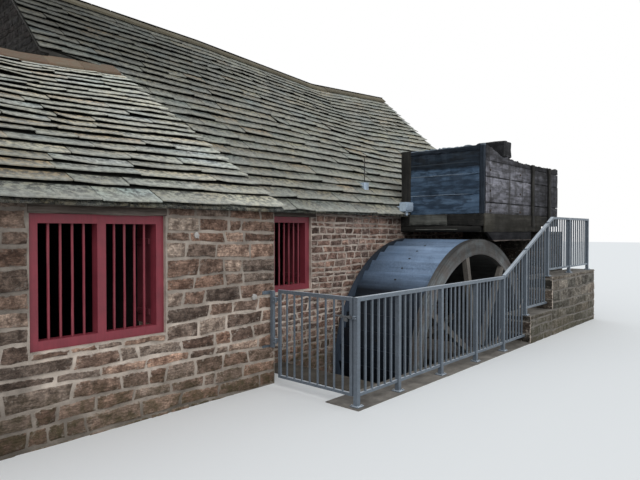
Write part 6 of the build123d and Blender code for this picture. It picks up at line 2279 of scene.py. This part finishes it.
@dataclass
class Wheel:
    """Finishes of the wheel, and its bolts and vent holes."""

    buckets: int = 48
    start_angle: float = 103.0
    lip_angle: float = 9.0
    arms: int = 8
    sole_radius: float = 1.775

    def build(self) -> None:
        """Dresses the nodes and adds the small pieces."""
        self.lo, self.hi = box_of("wheel_shrouds")
        self.centre, self.radius = (self.lo + self.hi) / 2, float(self.hi[0] - self.lo[0]) / 2
        rim = (tuple(float(c) for c in self.centre), self.radius)
        # The boards' blue-grey is partly the wet timber's own colour and partly a painted sky reflection. Their
        # heights paint shade low on the wheel, partly wetness, and light near its top, and rear_dim paints
        # shade towards the rear.
        boards = WheelTimber("bucket_boards", (0.074, 0.116, 0.182), (0.140, 0.205, 0.305),
                             (0.205, 0.283, 0.400), *rim,
                             "axle turn away", self.buckets, math.radians(self.start_angle - self.lip_angle),
                             0.46,
                             (0.045, 0.060, 0.082), ((1.14, 0.10), (1.44, 1.42), (1.68, 1.07)),
                             rear_dim=0.52).material()
        # rear_shaded paints the rear rim dark, as in shadow.
        felloes = WheelTimber("rim_felloes", (0.048, 0.052, 0.050), (0.178, 0.190, 0.192),
                              (0.350, 0.372, 0.378), *rim,
                              roughness=0.75, stain=(0.034, 0.033, 0.028), outer=0.5, rear_shaded=True,
                              rust=0.35,
                              heights=((1.15, 1.0), (1.72, 0.40))).material()
        arm = WheelTimber("wheel_arm_oak", (0.078, 0.068, 0.060), (0.158, 0.140, 0.122),
                          (0.250, 0.228, 0.198), *rim,
                          "away axle turn", roughness=0.78).material()
        sole = WheelTimber("drum_planks", (0.030, 0.032, 0.032), (0.058, 0.060, 0.060),
                           (0.095, 0.098, 0.098), *rim,
                           "axle turn away", self.buckets).material()
        iron = Steel("wheel_iron", (0.060, 0.056, 0.054), (0.10, 0.052, 0.03), 0.55, 0.6, 0.55).material()
        dress(boards, "wheel_bucket_fronts", "wheel_bucket_risers")
        dress(felloes, "wheel_shrouds")
        dress(arm, "wheel_arms", "wheel_shaft")
        dress(sole, "wheel_sole")
        dress(iron, "wheel_hubs", "shaft_bearings")
        self._bolts(iron)
        self._vents()

    def _polar(self, radius: float, angle: float, y: float) -> np.ndarray:
        """Point on the wheel: the centre plus the radius times cosine and sine of the angle.

        Args:
            radius: Distance from the axle.
            angle: Turn from the X axis, in degrees.
            y: Place along the axle.

        Returns:
            The point.
        """
        turn = math.radians(angle)
        return np.array([self.centre[0] + radius * math.cos(turn), y,
                         self.centre[2] + radius * math.sin(turn)])

    def _bolts(self, iron: Material) -> None:
        """Bolt heads in two pairs beside each felloe joint, on the outer faces of both rims.

        Args:
            iron: The bolts' finish.
        """
        shapes = []
        for y, way in ((self.lo[1], -1.0), (self.hi[1], 1.0)):
            for k in range(self.arms):
                for turn in (-3.2, -1.2, 1.2, 3.2):
                    for inward in (0.065, 0.175):
                        middle = self._polar(self.radius - inward, self.start_angle + 45.0 * k + turn,
                                             y - 0.004 * way)
                        shapes.append(drum(middle, 1, (0.013, 0.013, 0.008), (0.0, 0.003 * way, 0.004 * way),
                                           8))
        put("rim_bolts", join(shapes), iron, Slot.IRON, body=Body.WHEEL)

    def _vents(self) -> None:
        """One vent hole in each bucket's front board, as a thin flat disc painted near black for the shade
        inside the hole.
        """
        # Painted shade: the near-black disc stands for the shade inside each vent hole.
        dark = PlainStone("vent_hole_shade", (0.010, 0.010, 0.010), (0.016, 0.015, 0.014), 0.0).material()
        turn, shapes = np.linspace(0, 2 * math.pi, 12, endpoint=False)[:, None], []
        for k in range(self.buckets):
            riser = self.start_angle + k * 360.0 / self.buckets
            foot = self._polar(self.sole_radius, riser + 0.4, self.centre[1])
            board = self._polar(self.radius - 0.030, riser - self.lip_angle, self.centre[1]) - foot
            along = board / np.linalg.norm(board)
            out = np.array([-along[2], 0.0, along[0]])
            centre = foot + board * 0.62 + out * 0.0252
            if np.dot(centre - self.centre, out) < 0:
                out = -out
            ring = centre + 0.013 * np.cos(turn) * along + 0.021 * np.sin(turn) * np.array([0, 1, 0])
            shapes.append(tube(np.stack([ring - out * 0.003, ring + out * 0.0006])))
        put("bucket_vents", join(shapes), dark, Slot.BUCKET, body=Body.WHEEL)


# Railing and gate


@dataclass
class Railing:
    """Finishes of the steelwork, and the posts' base plates with their bolts."""

    plate: float = 0.105
    bolt: float = 0.036

    def build(self) -> None:
        """Dresses the nodes and adds the small pieces."""
        # The zinc's sky setting paints a pale sky reflection on its upper faces.
        zinc = Steel("zinc", (0.158, 0.190, 0.226), (0.098, 0.118, 0.142), 0.5, 0.35, 0.42,
                     sky=0.9).material()
        lock = Steel("lock_steel", (0.165, 0.180, 0.195), (0.09, 0.08, 0.07), 0.4, 0.5, 0.42).material()
        dress(zinc, "railing_posts", "railing_bays", "gate_frame", "gate_hanging_post")
        dress(lock, "gate_lock")
        shapes, half = [], self.plate / 2
        for lo, hi in islands("railing_posts"):
            x, y, z = hi[0] - 0.025, (lo[1] + hi[1]) / 2, lo[2]
            front = max(y - half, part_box("pit_front_wall")[0].y + 0.002)
            shapes.append(Timber((x - half, front, z), (x + half, y + half, z + 0.010), 0, 0.0, 0.002,
                                 4).shape(seeded(91)))
            shapes += [drum((x + dx, y + dy, z + 0.010), 2, (0.009, 0.009, 0.005), (0, 0.009, 0.012), 6)
                       for dx in (-self.bolt, self.bolt) for dy in (-self.bolt, self.bolt)]
        put("railing_base_plates", join(shapes), zinc, Slot.STEEL)


# Ground, fittings, camera


@dataclass
class Paving:
    """Floors inside."""

    def build(self) -> None:
        """Dresses the floors."""
        dress(PlainStone("flagstones", (0.120, 0.108, 0.092), (0.085, 0.076, 0.064)).material(),
              "ground_floors")


@dataclass
class Fittings:
    """A small floodlight at the eaves beside the tank, and a small box with a rod on the roof."""

    survey: Survey
    box_place: Span = (1.274, -2.140)

    def build(self) -> None:
        """Makes both."""
        s, rng = self.survey, seeded(95)
        grey = Steel("fitting_grey", (0.470, 0.570, 0.680), (0.32, 0.38, 0.44), 0.3, 0.2, 0.4).material()
        dark = Steel("rod_dark", (0.020, 0.021, 0.023), (0.05, 0.03, 0.02), 0.3, 0.4, 0.5).material()
        x, y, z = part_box("trough_frame")[0].x - 0.20, s.range_y - 0.16, s.ground + 2.10
        body = Timber((x - 0.02, y - 0.09, z), (x + 0.20, y + 0.04, z + 0.15), 0, 0.0008, 0.012, 8)
        glass = Timber((x + 0.0, y - 0.075, z - 0.012), (x + 0.18, y + 0.025, z + 0.002), 0, 0.0004, 0.004, 4)
        arm = Timber((x + 0.06, y + 0.03, z + 0.05), (x + 0.10, s.range_y + 0.02, z + 0.09), 1, 0.0, 0.003, 4)
        sensor = Timber((x + 0.06, y - 0.05, z - 0.07), (x + 0.11, y + 0.0, z - 0.010), 2, 0.0, 0.008, 6)
        put("floodlight", hewn(rng, body, glass, arm, sensor), grey, Slot.STEEL)
        x, y = self.box_place
        foot = float(s.range_front.height(x, y - 0.06))
        box = Timber((x - 0.06, y - 0.05, foot), (x + 0.06, y + 0.05, foot + 0.17), 2, 0.0006, 0.008, 8)
        rod = drum((x, y, foot + 0.17), 2, (0.007, 0.007, 0.004), (-0.02, 0.43, 0.44), 8)
        put("roof_box", box.shape(rng), grey, Slot.STEEL)
        put("roof_rod", rod, dark, Slot.STEEL)


@dataclass
class Studio:
    """Pale floor round the mill, plain soft light and the camera."""

    survey: Survey
    eye: Point = (-6.160, -7.820, 4.065)
    heading: Span = (0.743, 0.669)
    pitch: float = math.radians(0.94)
    lens: float = 30.94
    reach: float = 90.0
    drop: float = 0.010
    sun: Point = (0.55, 0.80, -0.72)

    def build(self) -> None:
        """Makes the floor, the lights and the camera."""
        self._floor()
        self._light()
        self._camera()

    @staticmethod
    def _by_ray(graph: Graph, kind: str, others: dict, camera: dict) -> Socket:
        """One shader for the camera's rays, and another for all other rays.

        Args:
            graph: Graph of the material or the world.
            kind: The shaders' node.
            others: Inputs for other rays.
            camera: Inputs for the camera's rays.

        Returns:
            The mixed shader.
        """
        return graph.out("MixShader", {0: graph.seen(), 1: graph.out(kind, others),
                                       2: graph.out(kind, camera)})

    @staticmethod
    def _placed(name: str, data: bpy.types.ID, way: Optional[Vector] = None) -> bpy.types.Object:
        """Links a new object that looks along a way.

        Args:
            name: The object's name.
            data: Its mesh, light or camera.
            way: The way that it looks, if it looks anywhere.

        Returns:
            The object.
        """
        made = bpy.data.objects.new(name, data)
        if way is not None:
            made.rotation_mode = "QUATERNION"
            made.rotation_quaternion = way.to_track_quat("-Z", "Y")
        bpy.context.scene.collection.objects.link(made)
        return made

    def _plane(self, name: str, patches: Sequence[Patch], z: float, material: Material) -> None:
        """Flat floor from rectangles x0, x1, y0, y1 at one height.

        Args:
            name: The floor's name.
            patches: The rectangles.
            z: Its height.
            material: Its finish.
        """
        points = [(x, y, z) for x0, x1, y0, y1 in patches
                  for x, y in ((x0, y0), (x1, y0), (x1, y1), (x0, y1))]
        mesh = bpy.data.meshes.new(name)
        mesh.from_pydata(points, [], np.arange(len(points)).reshape(-1, 4).tolist())
        mesh.materials.append(material)
        floor = self._placed(name, mesh)
        floor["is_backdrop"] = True

    def _floor(self) -> None:
        """Floor at the paving's level with an opening over the pit, and a plain bed in the pit."""
        left, right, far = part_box("pit_left_wall")[1].x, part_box("trough_pier")[0].x, self.reach
        front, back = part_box("pit_front_wall")[1].y, self.survey.range_y
        material, bed = (bpy.data.materials.new(name) for name in ("studio_floor", "pit_bed"))
        graph = Graph.cleared(material)
        mixed = self._by_ray(graph, "BsdfDiffuse", {"Color": (0.46, 0.45, 0.44)},
                             {"Color": (0.80, 0.80, 0.79)})
        graph.node("OutputMaterial", {0: mixed})
        self._plane("studio_floor", [(-far, left, -far, far), (right, far, -far, far),
                                     (left, right, -far, front),
                                     (left, right, back, far)], self.survey.ground - self.drop, material)
        bed.use_nodes = True
        bed.node_tree.nodes["Principled BSDF"].inputs["Base Color"].default_value = (0.03, 0.03, 0.028, 1)
        self._plane("pit_bed", [(left - 0.2, right + 0.2, front - 0.2, back + 0.2)], -0.004, bed)

    def _light(self) -> None:
        """Even sky with a soft sun from the upper left; the camera sees a white background."""
        world = bpy.data.worlds.new("studio_sky")
        bpy.context.scene.world = world
        graph = Graph.cleared(world)
        sky, white = {"Color": (0.90, 0.95, 1.0), "Strength": 0.85}, {"Color": (1.0, 1.0, 1.0),
                                                                      "Strength": 1.0}
        graph.node("OutputWorld", {0: self._by_ray(graph, "Background", sky, white)})
        sun = bpy.data.lights.new("soft_sun", "SUN")
        sun.energy, sun.angle = 1.1, math.radians(35.0)
        self._placed("soft_sun", sun, Vector(self.sun))
        bpy.context.scene.view_settings.view_transform = "Standard"

    def _camera(self) -> None:
        """Camera at eye height before the wing's left end."""
        data = bpy.data.cameras.new("camera")
        data.lens, data.sensor_width = self.lens, 36.0
        level_way = Vector((*self.heading, 0.0)) * math.cos(self.pitch)
        camera = self._placed("camera", data, level_way - Vector((0.0, 0.0, math.sin(self.pitch))))
        camera.location = Vector(self.eye)
        bpy.context.scene.camera = camera


def corners(box: tuple[Vector, Vector]) -> list[list[float]]:
    """A box as plain lists."""
    return [[float(c) for c in corner] for corner in box]


def main() -> None:
    """Builds every part of the mill."""
    logging.basicConfig(level=logging.INFO, format="%(name)s %(message)s")
    cad_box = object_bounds()
    survey = Survey()
    for part in (Studio(survey), Masonry(survey), Roofs(survey), Openings(), Pentrough(), Wheel(), Railing(),
                 Paving(), Fittings(survey)):
        part.build()
        LOG.info("%s is built", type(part).__name__)
    sizes = {"cad": corners(cad_box), "visual": corners(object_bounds())}


if __name__ == "__main__":
    main()
